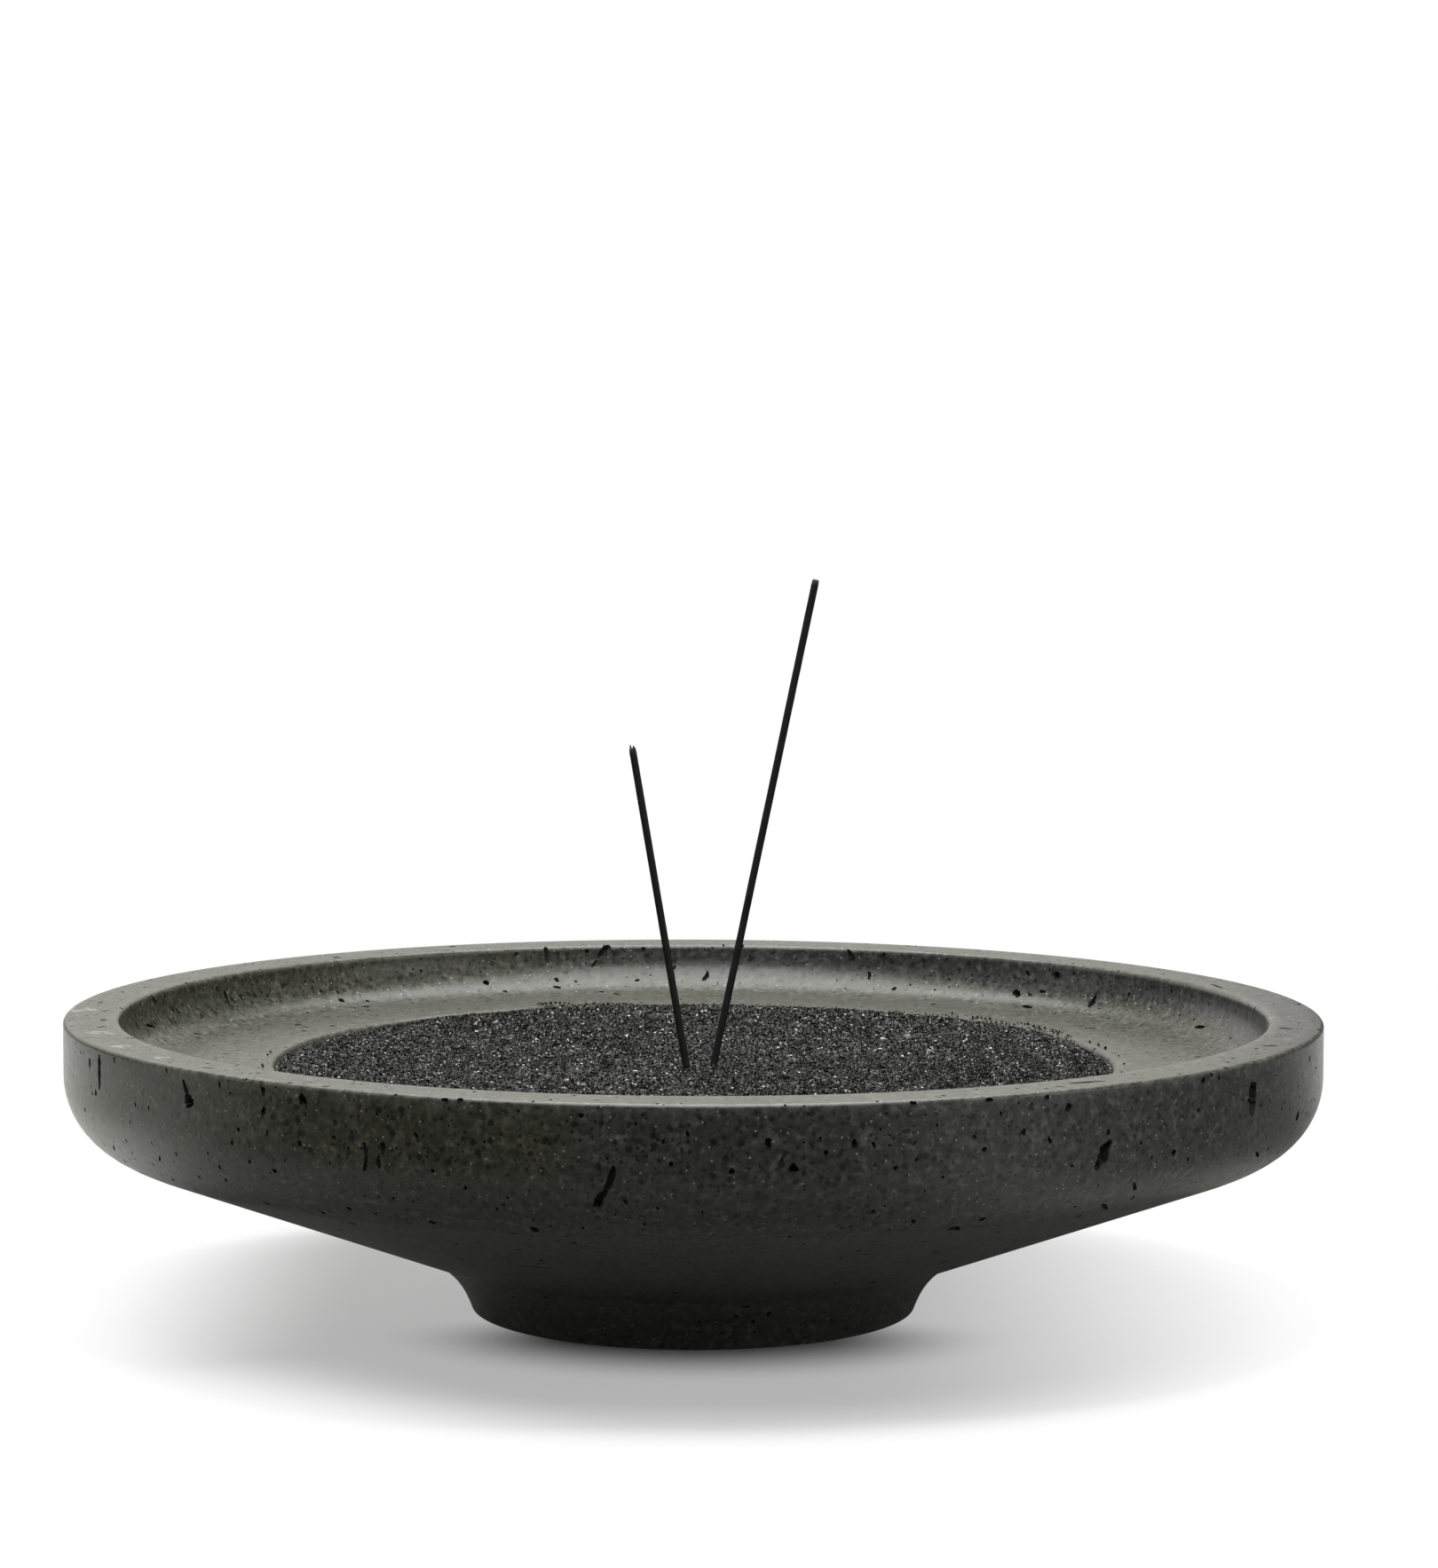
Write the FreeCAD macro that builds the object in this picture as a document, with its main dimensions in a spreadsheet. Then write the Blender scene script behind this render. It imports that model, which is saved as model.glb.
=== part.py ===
"""Stone incense burner: a turned stone bowl with a well of sand and two incense sticks standing in it.

Frame: millimetres, +Z up, origin at the centre of the foot's underside, +X to the viewer's right.
The bowl and the sand are solids of revolution about Z. The sticks lean in planes parallel to XZ.
"""

import FreeCAD, Part
import math
import os
import Sketcher

Vector = FreeCAD.Vector

# Driving dimensions: lengths in millimetres, angles in degrees
SIZES = {
    # Outside of the stone bowl
    "bowl_diameter": 320.0,  # across the upright wall
    "bowl_height": 76.5,  # table to rim
    "wall_height": 27.5,  # rim down to where the wall's line meets the underside's
    "belly_radius": 20.0,  # round between the wall and the underside
    "foot_diameter": 113.5,  # across the face that rests on the table
    "foot_height": 11.6,  # table to where the foot's line meets the underside's
    "foot_lean": 22.0,  # foot's side from the vertical
    "flare_radius": 22.0,  # hollow between the foot's side and the underside
    "foot_edge_radius": 0.8,  # eased edge at the table
    # Rim and the coved dish inside it
    "rim_width": 14.0,  # flat top of the wall
    "rim_outer_radius": 1.0,  # eased outer edge
    "rim_inner_radius": 1.4,  # eased inner edge
    "dish_depth": 12.6,  # rim down to the ledge
    "cove_radius": 10.8,  # hollow between the dish's side and the ledge
    # Sand well
    "well_diameter": 214.0,  # mouth of the well, in the ledge
    "well_depth": 24.0,  # ledge down to the well's floor
    "well_edge_radius": 1.8,  # eased mouth
    "well_floor_radius": 9.0,  # hollow round the floor
    # Sand
    "sand_clearance": 0.2,  # sand to the well's side
    "sand_drop": 1.3,  # sand's level below the ledge
    "ring_start": 20.0,  # radius of the smooth middle
    "ring_margin": 5.0,  # least smooth width left at the side
    "ring_pitch": 13.2,  # crest to crest
    "ring_height": 1.0,  # trough to crest
    # Incense sticks
    "stick_diameter": 1.9,
    "stick_bury": 13.0,  # length below the sand's level
    "hole_clearance": 0.1,  # stick to the sand round it
    "long_stick_length": 138.4,
    "long_stick_lean": 11.6,  # towards +X, from the vertical
    "long_stick_x": 5.05,  # where it enters the sand
    "long_stick_y": -1.0,
    "short_stick_length": 93.75,
    "short_stick_lean": 9.77,  # towards -X
    "short_stick_x": -1.92,
    "short_stick_y": -5.0,
    # Burnt ends
    "ash_length": 1.6,  # ash on the newly lit stick
    "ash_top_diameter": 1.7,
    "char_length": 2.0,  # charred stub on the burnt-down stick
    "char_top_diameter": 1.65,
    "splinter_length": 0.8,  # what is left standing on the stub
    "splinter_diameter": 0.6,
    "splinter_tip_diameter": 0.4,
    "splinter_spread": 0.35,  # each splinter's foot from the stub's axis
    "splinter_lean": 2.0,
    # Grains spilt on the ledge
    "grain_width": 1.0,
    "grain_height": 0.8,
}
# Heights above the table, as formulas
LEDGE = "bowl_height - dish_depth"
SAND_LEVEL = f"{LEDGE} - sand_drop"
GRAIN_SIDES = 5
GRAIN_TURN = 37.0  # each grain's turn from the one before it, in degrees
# Each stick leans towards +X or -X
LEANS_TOWARDS = {"long_stick": 1, "short_stick": -1}
# Spilt grains in groups: bearing of the first from +X in degrees, spacing along the well's mouth, count,
# and distance out from the mouth's edge, with both lengths in grain widths
SPILT_GRAINS = (
    (176.0, 5.0, 2, 0.9),
    (187.8, 3.5, 2, 1.4),
    (108.0, 1.3, 8, 5.6),
    (109.0, 1.5, 5, 7.1),
    (104.4, 2.6, 2, 4.0),
    (51.0, 1.0, 1, 5.0),
    (43.5, 1.5, 5, 3.2),
    (36.0, 1.4, 4, 3.6),
    (31.8, 2.4, 3, 2.8),
    (27.0, 1.6, 4, 2.2),
    (10.8, 6.0, 3, 0.8),
    (340.1, 15.0, 4, 1.2),
)

doc = FreeCAD.newDocument("incense_burner")
sheet = doc.addObject("Spreadsheet::Sheet", "sizes")
for row, (alias, value) in enumerate(SIZES.items(), start=1):
    sheet.set(f"A{row}", alias)
    sheet.set(f"B{row}", str(value))
    sheet.setAlias(f"B{row}", alias)
doc.recompute()


def size(alias):
    """A driving dimension, read from its cell."""
    return float(sheet.get(alias))


def formula(text):
    """An expression of driving dimensions, each name turned into a reference to its cell."""
    return " ".join(f"sizes.{word}" if word in SIZES else word for word in text.split())


def bind(thing, expressions):
    """Bind each of the object's properties to its formula."""
    for path, text in expressions.items():
        thing.setExpression(path, formula(text))


def new_sketch(body):
    """A sketch on the body's own XZ plane, for a half profile: X is the radius, Y is the height."""
    sketch = body.newObject("Sketcher::SketchObject", f"{body.Name}_profile")
    plane = next(f for f in body.Origin.OriginFeatures if f.Role == "XZ_Plane")
    sketch.AttachmentSupport = (plane, [""])
    sketch.MapMode = "FlatFace"
    return sketch


def add_line(sketch, start, end):
    """A straight edge of the profile between two (radius, height) points."""
    return sketch.addGeometry(Part.LineSegment(Vector(*start), Vector(*end)), False)


def join(sketch, first, first_end, second, second_end):
    """Make an end of one edge meet an end of another: 1 is an edge's start, 2 its end."""
    sketch.addConstraint(Sketcher.Constraint("Coincident", first, first_end, second, second_end))


def dimension(sketch, name, kind, places, text, start):
    """A named dimension of the sketch, bound to its formula and started at a nearby value."""
    index = sketch.addConstraint(Sketcher.Constraint(kind, *places, start))
    sketch.renameConstraint(index, name)
    sketch.setExpression(f"Constraints.{name}", formula(text))


def turn_profile(body, sketch):
    """Revolve the closed half profile a full turn about Z."""
    doc.recompute()
    turning = body.newObject("PartDesign::Revolution", f"{body.Name}_turning")
    turning.Profile = sketch
    turning.ReferenceAxis = (sketch, ["V_Axis"])
    turning.Angle = 360
    doc.recompute()


def ring_edge(shape, corner):
    """Name of the circular edge that a profile's corner makes when it is turned."""
    for number, edge in enumerate(shape.Edges, start=1):
        if isinstance(edge.Curve, Part.Circle):
            place = Vector(edge.Curve.Radius, edge.Curve.Center.z)
            if place.isEqual(Vector(corner.x, corner.y), 1e-4):
                return f"Edge{number}"
    raise ValueError(f"no ring edge at {corner}")


def round_corner(body, name, corner, text):
    """Round the ring edge at a profile's corner by a formula's radius."""
    base = body.Tip
    fillet = body.newObject("PartDesign::Fillet", name)
    fillet.Base = (base, [ring_edge(base.Shape, corner)])
    fillet.Radius = 0.1
    bind(fillet, {"Radius": text})
    doc.recompute()


def make_bowl():
    """The bowl: foot, sloping underside, upright wall, rim, coved dish, ledge and well, in one block."""
    body = doc.addObject("PartDesign::Body", "stone_bowl")
    sketch = new_sketch(body)
    flare = math.tan(math.radians(size("foot_lean")))
    outer = size("bowl_diameter") / 2
    foot = size("foot_diameter") / 2
    knee = size("foot_height")
    top = size("bowl_height")
    shoulder = top - size("wall_height")
    dish = outer - size("rim_width")
    ledge = top - size("dish_depth")
    mouth = size("well_diameter") / 2
    floor = ledge - size("well_depth")
    points = [
        (0, 0),
        (foot, 0),
        (foot + knee * flare, knee),
        (outer, shoulder),
        (outer, top),
        (dish, top),
        (dish, ledge),
        (mouth, ledge),
        (mouth, floor),
        (0, floor),
    ]
    edges = [add_line(sketch, *pair) for pair in zip(points, points[1:] + points[:1])]
    underfoot, foot_side, underside, wall, rim, dish_side, shelf, well_side, well_floor, axis = edges
    for first, second in zip(edges, edges[1:] + edges[:1]):
        join(sketch, first, 2, second, 1)
    join(sketch, underfoot, 1, -1, 1)
    for level in (underfoot, rim, shelf, well_floor):
        sketch.addConstraint(Sketcher.Constraint("Horizontal", level))
    for upright in (wall, dish_side, well_side, axis):
        sketch.addConstraint(Sketcher.Constraint("Vertical", upright))
    tilt = math.radians(90 - size("foot_lean"))
    dimension(sketch, "foot_reach", "DistanceX", (underfoot, 1, underfoot, 2), "foot_diameter / 2", foot)
    dimension(sketch, "foot_tilt", "Angle", (foot_side,), "( 90 - foot_lean ) * 1 deg", tilt)
    dimension(sketch, "foot_rise", "DistanceY", (-1, 1, underside, 1), "foot_height", knee)
    dimension(sketch, "wall_reach", "DistanceX", (-1, 1, wall, 1), "bowl_diameter / 2", outer)
    dimension(sketch, "height", "DistanceY", (-1, 1, wall, 2), "bowl_height", top)
    dimension(sketch, "wall_rise", "DistanceY", (wall, 1, wall, 2), "wall_height", top - shoulder)
    dimension(sketch, "rim_breadth", "DistanceX", (rim, 2, rim, 1), "rim_width", outer - dish)
    dimension(sketch, "dish_drop", "DistanceY", (dish_side, 2, dish_side, 1), "dish_depth", top - ledge)
    dimension(sketch, "mouth_reach", "DistanceX", (-1, 1, well_side, 1), "well_diameter / 2", mouth)
    dimension(sketch, "well_drop", "DistanceY", (well_side, 2, well_side, 1), "well_depth", ledge - floor)
    turn_profile(body, sketch)
    corner = {edge: sketch.getPoint(edge, 1) for edge in edges}
    round_corner(body, "belly_round", corner[wall], "belly_radius")
    round_corner(body, "foot_flare", corner[underside], "flare_radius")
    round_corner(body, "foot_edge", corner[foot_side], "foot_edge_radius")
    round_corner(body, "cove", corner[shelf], "min( cove_radius ; dish_depth - rim_inner_radius )")
    round_corner(body, "rim_outer_edge", corner[rim], "rim_outer_radius")
    round_corner(body, "rim_inner_edge", corner[dish_side], "rim_inner_radius")
    round_corner(body, "well_floor_round", corner[well_floor], "well_floor_radius")
    round_corner(body, "well_edge", corner[well_side], "well_edge_radius")
    return body


def make_sand():
    """The sand: a plug that fills the well, its top drawn into rings, with a hole for each stick."""
    body = doc.addObject("PartDesign::Body", "sand_bed")
    sketch = new_sketch(body)
    ledge = size("bowl_height") - size("dish_depth")
    floor = ledge - size("well_depth")
    level = ledge - size("sand_drop")
    side = size("well_diameter") / 2 - size("sand_clearance")
    inner = size("ring_start")
    pitch = size("ring_pitch")
    rings = int((side - size("ring_margin") - inner) / pitch)
    outer = inner + rings * pitch
    bow = pitch**2 / (16 * size("ring_height")) + size("ring_height") / 4
    sweep = math.asin(pitch / 4 / bow)
    base = add_line(sketch, (0, floor), (side, floor))
    flank = add_line(sketch, (side, floor), (side, level))
    margin = add_line(sketch, (side, level), (outer, level))
    centre = add_line(sketch, (inner, level), (0, level))
    axis = add_line(sketch, (0, level), (0, floor))
    join(sketch, base, 2, flank, 1)
    join(sketch, flank, 2, margin, 1)
    join(sketch, centre, 2, axis, 1)
    join(sketch, axis, 2, base, 1)
    sketch.addConstraint(Sketcher.Constraint("PointOnObject", base, 1, -2))
    for flat in (base, margin, centre):
        sketch.addConstraint(Sketcher.Constraint("Horizontal", flat))
    for upright in (flank, axis):
        sketch.addConstraint(Sketcher.Constraint("Vertical", upright))
    floor_text = f"{LEDGE} - well_depth"
    dimension(sketch, "floor_level", "DistanceY", (-1, 1, base, 1), floor_text, floor)
    dimension(sketch, "sand_level", "DistanceY", (-1, 1, margin, 1), SAND_LEVEL, level)
    side_text = "well_diameter / 2 - sand_clearance"
    dimension(sketch, "side_reach", "DistanceX", (-1, 1, flank, 1), side_text, side)
    dimension(sketch, "smooth_middle", "DistanceX", (-1, 1, centre, 1), "ring_start", inner)
    # Crests and troughs by turns, from the side in. A crest's arc starts at its outer end, a trough's at its
    # inner one.
    bow_text = "ring_pitch ^ 2 / ( 16 * ring_height ) + ring_height / 4"
    last, last_end = margin, 2
    for step in range(2 * rings):
        up, outer_end, inner_end = (1, 1, 2) if step % 2 == 0 else (-1, 2, 1)
        middle = Vector(outer - (step + 0.5) * pitch / 2, level - up * bow * math.cos(sweep))
        circle = Part.Circle(middle, Vector(0, 0, 1), bow)
        facing = up * math.pi / 2
        wave = sketch.addGeometry(Part.ArcOfCircle(circle, facing - sweep, facing + sweep), False)
        join(sketch, last, last_end, wave, outer_end)
        sketch.addConstraint(Sketcher.Constraint("Horizontal", wave, 1, wave, 2))
        span = (wave, inner_end, wave, outer_end)
        dimension(sketch, f"span_{step}", "DistanceX", span, "ring_pitch / 2", pitch / 2)
        dimension(sketch, f"bow_{step}", "Radius", (wave,), bow_text, bow)
        last, last_end = wave, inner_end
    join(sketch, last, last_end, centre, 1)
    turn_profile(body, sketch)
    round_corner(body, "sand_foot_round", sketch.getPoint(flank, 1), "well_floor_radius")
    for stick in LEANS_TOWARDS:
        hole = body.newObject("PartDesign::SubtractiveCylinder", f"{stick}_hole")
        hole.Placement = along_stick(stick)
        bind(hole, {"Radius": "stick_diameter / 2 + hole_clearance", "Height": "2 * stick_bury"})
        bind(hole, on_stick(stick, "- stick_bury"))
        doc.recompute()
    return body


def along_stick(stick):
    """A placement turned from Z to the stick's lean."""
    axis = Vector(0, LEANS_TOWARDS[stick], 0)
    return FreeCAD.Placement(Vector(), FreeCAD.Rotation(axis, size(f"{stick}_lean")))


def on_stick(stick, distance):
    """Formulas for a place on a stick's axis, at a distance above the sand's level."""
    lean = f"{stick}_lean * 1 deg"
    side = LEANS_TOWARDS[stick]
    return {
        "Placement.Base.x": f"{stick}_x + {side} * ( {distance} ) * sin( {lean} )",
        "Placement.Base.y": f"{stick}_y",
        "Placement.Base.z": f"{SAND_LEVEL} + ( {distance} ) * cos( {lean} )",
        "Placement.Rotation.Angle": lean,
    }


def make_stick(name, stick):
    """A plain extruded stick of incense, its lower end on the bottom of its hole in the sand."""
    rod = doc.addObject("Part::Cylinder", name)
    rod.Placement = along_stick(stick)
    bind(rod, {"Radius": "stick_diameter / 2", "Height": f"{stick}_length"})
    bind(rod, on_stick(stick, "- stick_bury"))
    return rod


def make_ash_cap():
    """The short taper of ash on the newly lit stick."""
    cap = doc.addObject("Part::Cone", "long_stick_ash_cap")
    cap.Placement = along_stick("long_stick")
    bind(cap, {"Radius1": "stick_diameter / 2", "Radius2": "ash_top_diameter / 2", "Height": "ash_length"})
    bind(cap, on_stick("long_stick", "long_stick_length - stick_bury"))
    return cap


def make_charred_tip():
    """The burnt-down stick's end: a narrowed stub with two splinters left standing on it."""
    stub = doc.addObject("Part::Cone", "charred_stub")
    bind(stub, {"Radius1": "stick_diameter / 2", "Radius2": "char_top_diameter / 2", "Height": "char_length"})
    pieces = [stub]
    for name, side, share in (("tall_splinter", -1, "1"), ("low_splinter", 1, "0.6")):
        splinter = doc.addObject("Part::Cone", name)
        turn = FreeCAD.Rotation(Vector(0, side, 0), size("splinter_lean"))
        splinter.Placement = FreeCAD.Placement(Vector(), turn)
        bind(splinter, {
            "Radius1": "splinter_diameter / 2",
            "Radius2": "splinter_tip_diameter / 2",
            "Height": f"splinter_length * {share} + splinter_diameter",
            "Placement.Base.x": f"{side} * splinter_spread",
            "Placement.Base.z": "char_length - splinter_diameter",
            "Placement.Rotation.Angle": "splinter_lean * 1 deg",
        })
        pieces.append(splinter)
    tip = doc.addObject("Part::MultiFuse", "short_stick_charred_tip")
    tip.Shapes = pieces
    tip.Placement = along_stick("short_stick")
    bind(tip, on_stick("short_stick", "short_stick_length - stick_bury"))
    return tip


def make_spilt_grains():
    """Angular grains of sand that lie on the ledge round the well, each on its flat underside."""
    grains = []
    for bearing, spacing, count, distance in SPILT_GRAINS:
        reach = f"( well_diameter / 2 + well_edge_radius + {distance} * grain_width )"
        for index in range(int(count)):
            grain = doc.addObject("Part::Prism", "grain")
            grain.Polygon = GRAIN_SIDES
            turn = FreeCAD.Rotation(Vector(0, 0, 1), GRAIN_TURN * len(grains))
            grain.Placement = FreeCAD.Placement(Vector(), turn)
            angle = f"( {bearing} * 1 deg + {index * spacing} * grain_width / {reach} * 1 rad )"
            bind(grain, {
                "Circumradius": "grain_width / 2",
                "Height": "grain_height",
                "Placement.Base.x": f"{reach} * cos{angle}",
                "Placement.Base.y": f"{reach} * sin{angle}",
                "Placement.Base.z": LEDGE,
            })
            grains.append(grain)
    group = doc.addObject("Part::Compound", "loose_sand_grains")
    group.Links = grains
    return group


def write_pieces(pieces):
    """Check the whole document and every piece, then write each piece to a file of its name."""
    doc.recompute()
    failed = [thing.Name for thing in doc.Objects if {"Invalid", "Error"} & set(thing.State)]
    if failed:
        raise RuntimeError(f"failed to build: {failed}")
    for piece in pieces:
        shape = piece.Shape
        if shape.isNull() or not shape.isValid():
            raise RuntimeError(f"bad shape: {piece.Label}")
        print(f"{piece.Label}: {len(shape.Solids)} solids, {shape.Volume:.2f} mm3")
    os.makedirs("parts", exist_ok=True)
    for piece in pieces:
        piece.Shape.exportStep(f"parts/{piece.Label}.step")


write_pieces([
    make_bowl(),
    make_sand(),
    make_spilt_grains(),
    make_stick("long_incense_stick", "long_stick"),
    make_ash_cap(),
    make_stick("short_incense_stick", "short_stick"),
    make_charred_tip(),
])
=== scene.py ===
"""Dresses a turned stone incense burner: bowl, bed of sand, spilt grains and two incense sticks.

Metres, +Z up, origin under the middle of the foot, +X to the viewer's right, viewer on the -Y side.
"""

import logging
import math
from dataclasses import dataclass, field
from enum import Enum
from functools import reduce

import bpy
import numpy as np
from mathutils import Euler, Matrix, Vector


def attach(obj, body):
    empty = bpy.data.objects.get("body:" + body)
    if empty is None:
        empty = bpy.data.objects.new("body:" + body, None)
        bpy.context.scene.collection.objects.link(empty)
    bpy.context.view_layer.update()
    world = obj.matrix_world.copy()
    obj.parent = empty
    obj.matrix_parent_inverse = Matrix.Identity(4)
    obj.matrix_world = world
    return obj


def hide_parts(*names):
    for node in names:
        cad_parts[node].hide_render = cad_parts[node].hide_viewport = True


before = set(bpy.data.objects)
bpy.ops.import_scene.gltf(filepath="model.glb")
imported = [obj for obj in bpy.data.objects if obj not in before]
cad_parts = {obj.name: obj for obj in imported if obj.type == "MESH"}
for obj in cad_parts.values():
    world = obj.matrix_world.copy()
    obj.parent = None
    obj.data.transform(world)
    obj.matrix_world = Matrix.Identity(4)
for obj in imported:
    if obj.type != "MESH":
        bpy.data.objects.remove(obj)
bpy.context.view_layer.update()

Array = np.ndarray
Colour = tuple[float, float, float]
Point = tuple[float, float, float]
Band = tuple[float, float]
Socket = bpy.types.NodeSocket
Piece = bpy.types.Object
Mesh = bpy.types.Mesh
Material = bpy.types.Material
Chance = np.random.Generator

LOG = logging.getLogger("incense_burner")
MM = 0.001
TURN = 2 * math.pi
BAKE_MAP = "OFBake"
# Faces of a grain, points round a rod, and the angle from which a rod's edges are sharp
GRAIN_FACES = 8
ROD_COLUMNS = 20
ROD_SHARP = math.radians(50)
WHITE = (1.0, 1.0, 1.0)
# Directions over the floor, as the viewer sees them
LEFT, RIGHT, FRONT, BACK = (-1.0, 0.0, 0.0), (1.0, 0.0, 0.0), (0.0, -1.0, 0.0), (0.0, 1.0, 0.0)


class Body(Enum):
    """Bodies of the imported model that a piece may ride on."""

    BOWL = "bowl"
    LONG_STICK = "long_stick"
    SHORT_STICK = "short_stick"


class Slot(Enum):
    """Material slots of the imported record."""

    STONE = "stone"
    SAND = "sand"
    INCENSE = "incense"
    ASH = "ash"
    CHAR = "char"


class Shading(Enum):
    """How a mesh's faces meet."""

    FLAT = "flat"
    SMOOTH = "smooth"


def no_faces(corners: int) -> Array:
    """An empty table of faces with the given number of corners."""
    return np.zeros((0, corners), int)


@dataclass
class Surface:
    """A mesh held as whole arrays.

    Attributes:
        points: Vertex places, (n, 3).
        quads: Four-cornered faces as vertex numbers, (q, 4).
        triangles: Three-cornered faces as vertex numbers, (t, 3).
    """

    points: Array
    quads: Array = field(default_factory=lambda: no_faces(4))
    triangles: Array = field(default_factory=lambda: no_faces(3))

    def joined(self, other: "Surface") -> "Surface":
        """Both surfaces as one.

        Args:
            other: The surface whose vertices are numbered after this one's.

        Returns:
            The joined surface.
        """
        first = len(self.points)
        return Surface(
            np.concatenate([self.points, other.points]),
            np.concatenate([self.quads, other.quads + first]),
            np.concatenate([self.triangles, other.triangles + first]),
        )

    def mesh(self, name: str, shading: Shading) -> Mesh:
        """Fill a mesh from the arrays.

        Args:
            name: The mesh's name.
            shading: Whether its faces meet smoothly.

        Returns:
            The new mesh.
        """
        mesh = bpy.data.meshes.new(name)
        corners = np.concatenate([self.quads.ravel(), self.triangles.ravel()])
        counts = np.concatenate([np.full(len(self.quads), 4), np.full(len(self.triangles), 3)])
        mesh.vertices.add(len(self.points))
        mesh.vertices.foreach_set("co", self.points.astype(np.float32).ravel())
        mesh.loops.add(len(corners))
        mesh.loops.foreach_set("vertex_index", corners.astype(np.int32))
        mesh.polygons.add(len(counts))
        mesh.polygons.foreach_set("loop_start", (np.cumsum(counts) - counts).astype(np.int32))
        mesh.update(calc_edges=True)
        mesh.validate()
        getattr(mesh, f"shade_{shading.value}")()
        return mesh


def grid_quads(rows: int, columns: int, closed: bool) -> Array:
    """Faces of a grid of vertices numbered row by row.

    Args:
        rows: Rows of vertices.
        columns: Vertices in a row.
        closed: Whether the last column joins the first.

    Returns:
        The quads, (q, 4), each running along its row first.
    """
    row = np.arange(rows - 1)[:, None] * columns
    here = np.arange(columns if closed else columns - 1)[None, :]
    beside = (here + 1) % columns
    corners = [row + here, row + beside, row + columns + beside, row + columns + here]
    return np.stack(corners, axis=-1).reshape(-1, 4)


def closed_rings(rings: Array, first_pole: Array, last_pole: Array) -> Surface:
    """A closed skin over a stack of rings, with a fan of triangles to a pole at each end.

    Args:
        rings: Ring vertices, (rows, columns, 3), turning so that a ring crossed with the next row faces out.
        first_pole: Pole before the first ring.
        last_pole: Pole after the last ring.

    Returns:
        The skin.
    """
    rows, columns, _ = rings.shape
    here = np.arange(columns)
    beside = (here + 1) % columns
    first = np.full(columns, rows * columns)
    fan_in = np.stack([first, beside, here], axis=-1)
    last_row = (rows - 1) * columns
    fan_out = np.stack([first + 1, last_row + here, last_row + beside], axis=-1)
    points = np.concatenate([rings.reshape(-1, 3), [first_pole, last_pole]])
    return Surface(points, grid_quads(rows, columns, True), np.concatenate([fan_in, fan_out]))


def polar(radius: Array | float, angle: Array, height: Array | float) -> Array:
    """Points (radius cos angle, radius sin angle, height), spread against one another, (..., 3)."""
    return np.stack(np.broadcast_arrays(radius * np.cos(angle), radius * np.sin(angle), height), axis=-1)


def revolved(outline: Array, columns: int) -> Surface:
    """Turn an outline about Z: place(s, a) = (r(s) cos a, r(s) sin a, z(s)).

    Args:
        outline: (radius, height) points that start and end on the axis, the solid on their left.
        columns: Steps round the axis.

    Returns:
        The turned skin, closed at both poles.
    """
    angle = np.arange(columns) * TURN / columns
    rings = polar(outline[1:-1, :1], angle, outline[1:-1, 1:])
    poles = [np.array([0.0, 0.0, outline[end, 1]]) for end in (0, -1)]
    return closed_rings(rings, *poles)


def run_lengths(outline: Array) -> Array:
    """Distance along an outline from its start to each of its points, (n,)."""
    return np.concatenate([[0], np.cumsum(np.linalg.norm(np.diff(outline, axis=0), axis=1))])


def rounded_outline(corners: Array, radii: Array, run_steps: Array, arc_step: float) -> Array:
    """A polyline with each inner corner replaced by an arc tangent to both of its runs.

    The arc of radius R at a corner whose runs open by the angle w starts R / tan(w / 2) along each run.

    Args:
        corners: (n, 2) corners.
        radii: Radius at each inner corner, (n - 2,).
        run_steps: Longest step along each straight run, (n - 1,).
        arc_step: Longest step along an arc.

    Returns:
        The points of the rounded polyline.
    """
    pieces = [corners[:1]]
    for before, corner, after, radius in zip(corners, corners[1:], corners[2:], radii):
        back = unit(before - corner)
        ahead = unit(after - corner)
        opening = math.acos(float(back @ ahead))
        middle = unit(back + ahead)
        centre = corner + middle * radius / math.sin(opening / 2)
        start, end = (corner + way * radius / math.tan(opening / 2) - centre for way in (back, ahead))
        first = math.atan2(start[1], start[0])
        sweep = (math.atan2(end[1], end[0]) - first + math.pi) % TURN - math.pi
        steps = max(5, math.ceil(abs(sweep) * radius / arc_step))
        angle = first + sweep * np.linspace(0, 1, steps + 1)
        pieces.append(centre + radius * np.stack([np.cos(angle), np.sin(angle)], axis=-1))
    pieces.append(corners[-1:])
    outline = [pieces[0]]
    for piece, following, step in zip(pieces, pieces[1:], run_steps):
        count = max(1, math.ceil(np.linalg.norm(following[0] - piece[-1]) / step))
        outline.append(np.linspace(piece[-1], following[0], count + 1)[1:])
        outline.append(following[1:])
    return np.concatenate(outline)


def unit(vectors: Array) -> Array:
    """The vectors, each scaled to length 1."""
    return vectors / np.linalg.norm(vectors, axis=-1, keepdims=True)


def placed(name: str, data: bpy.types.ID) -> Piece:
    """Add an object to the scene.

    Args:
        name: Its name.
        data: Its mesh, lamp or camera.

    Returns:
        The object.
    """
    piece = bpy.data.objects.new(name, data)
    bpy.context.scene.collection.objects.link(piece)
    return piece


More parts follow.
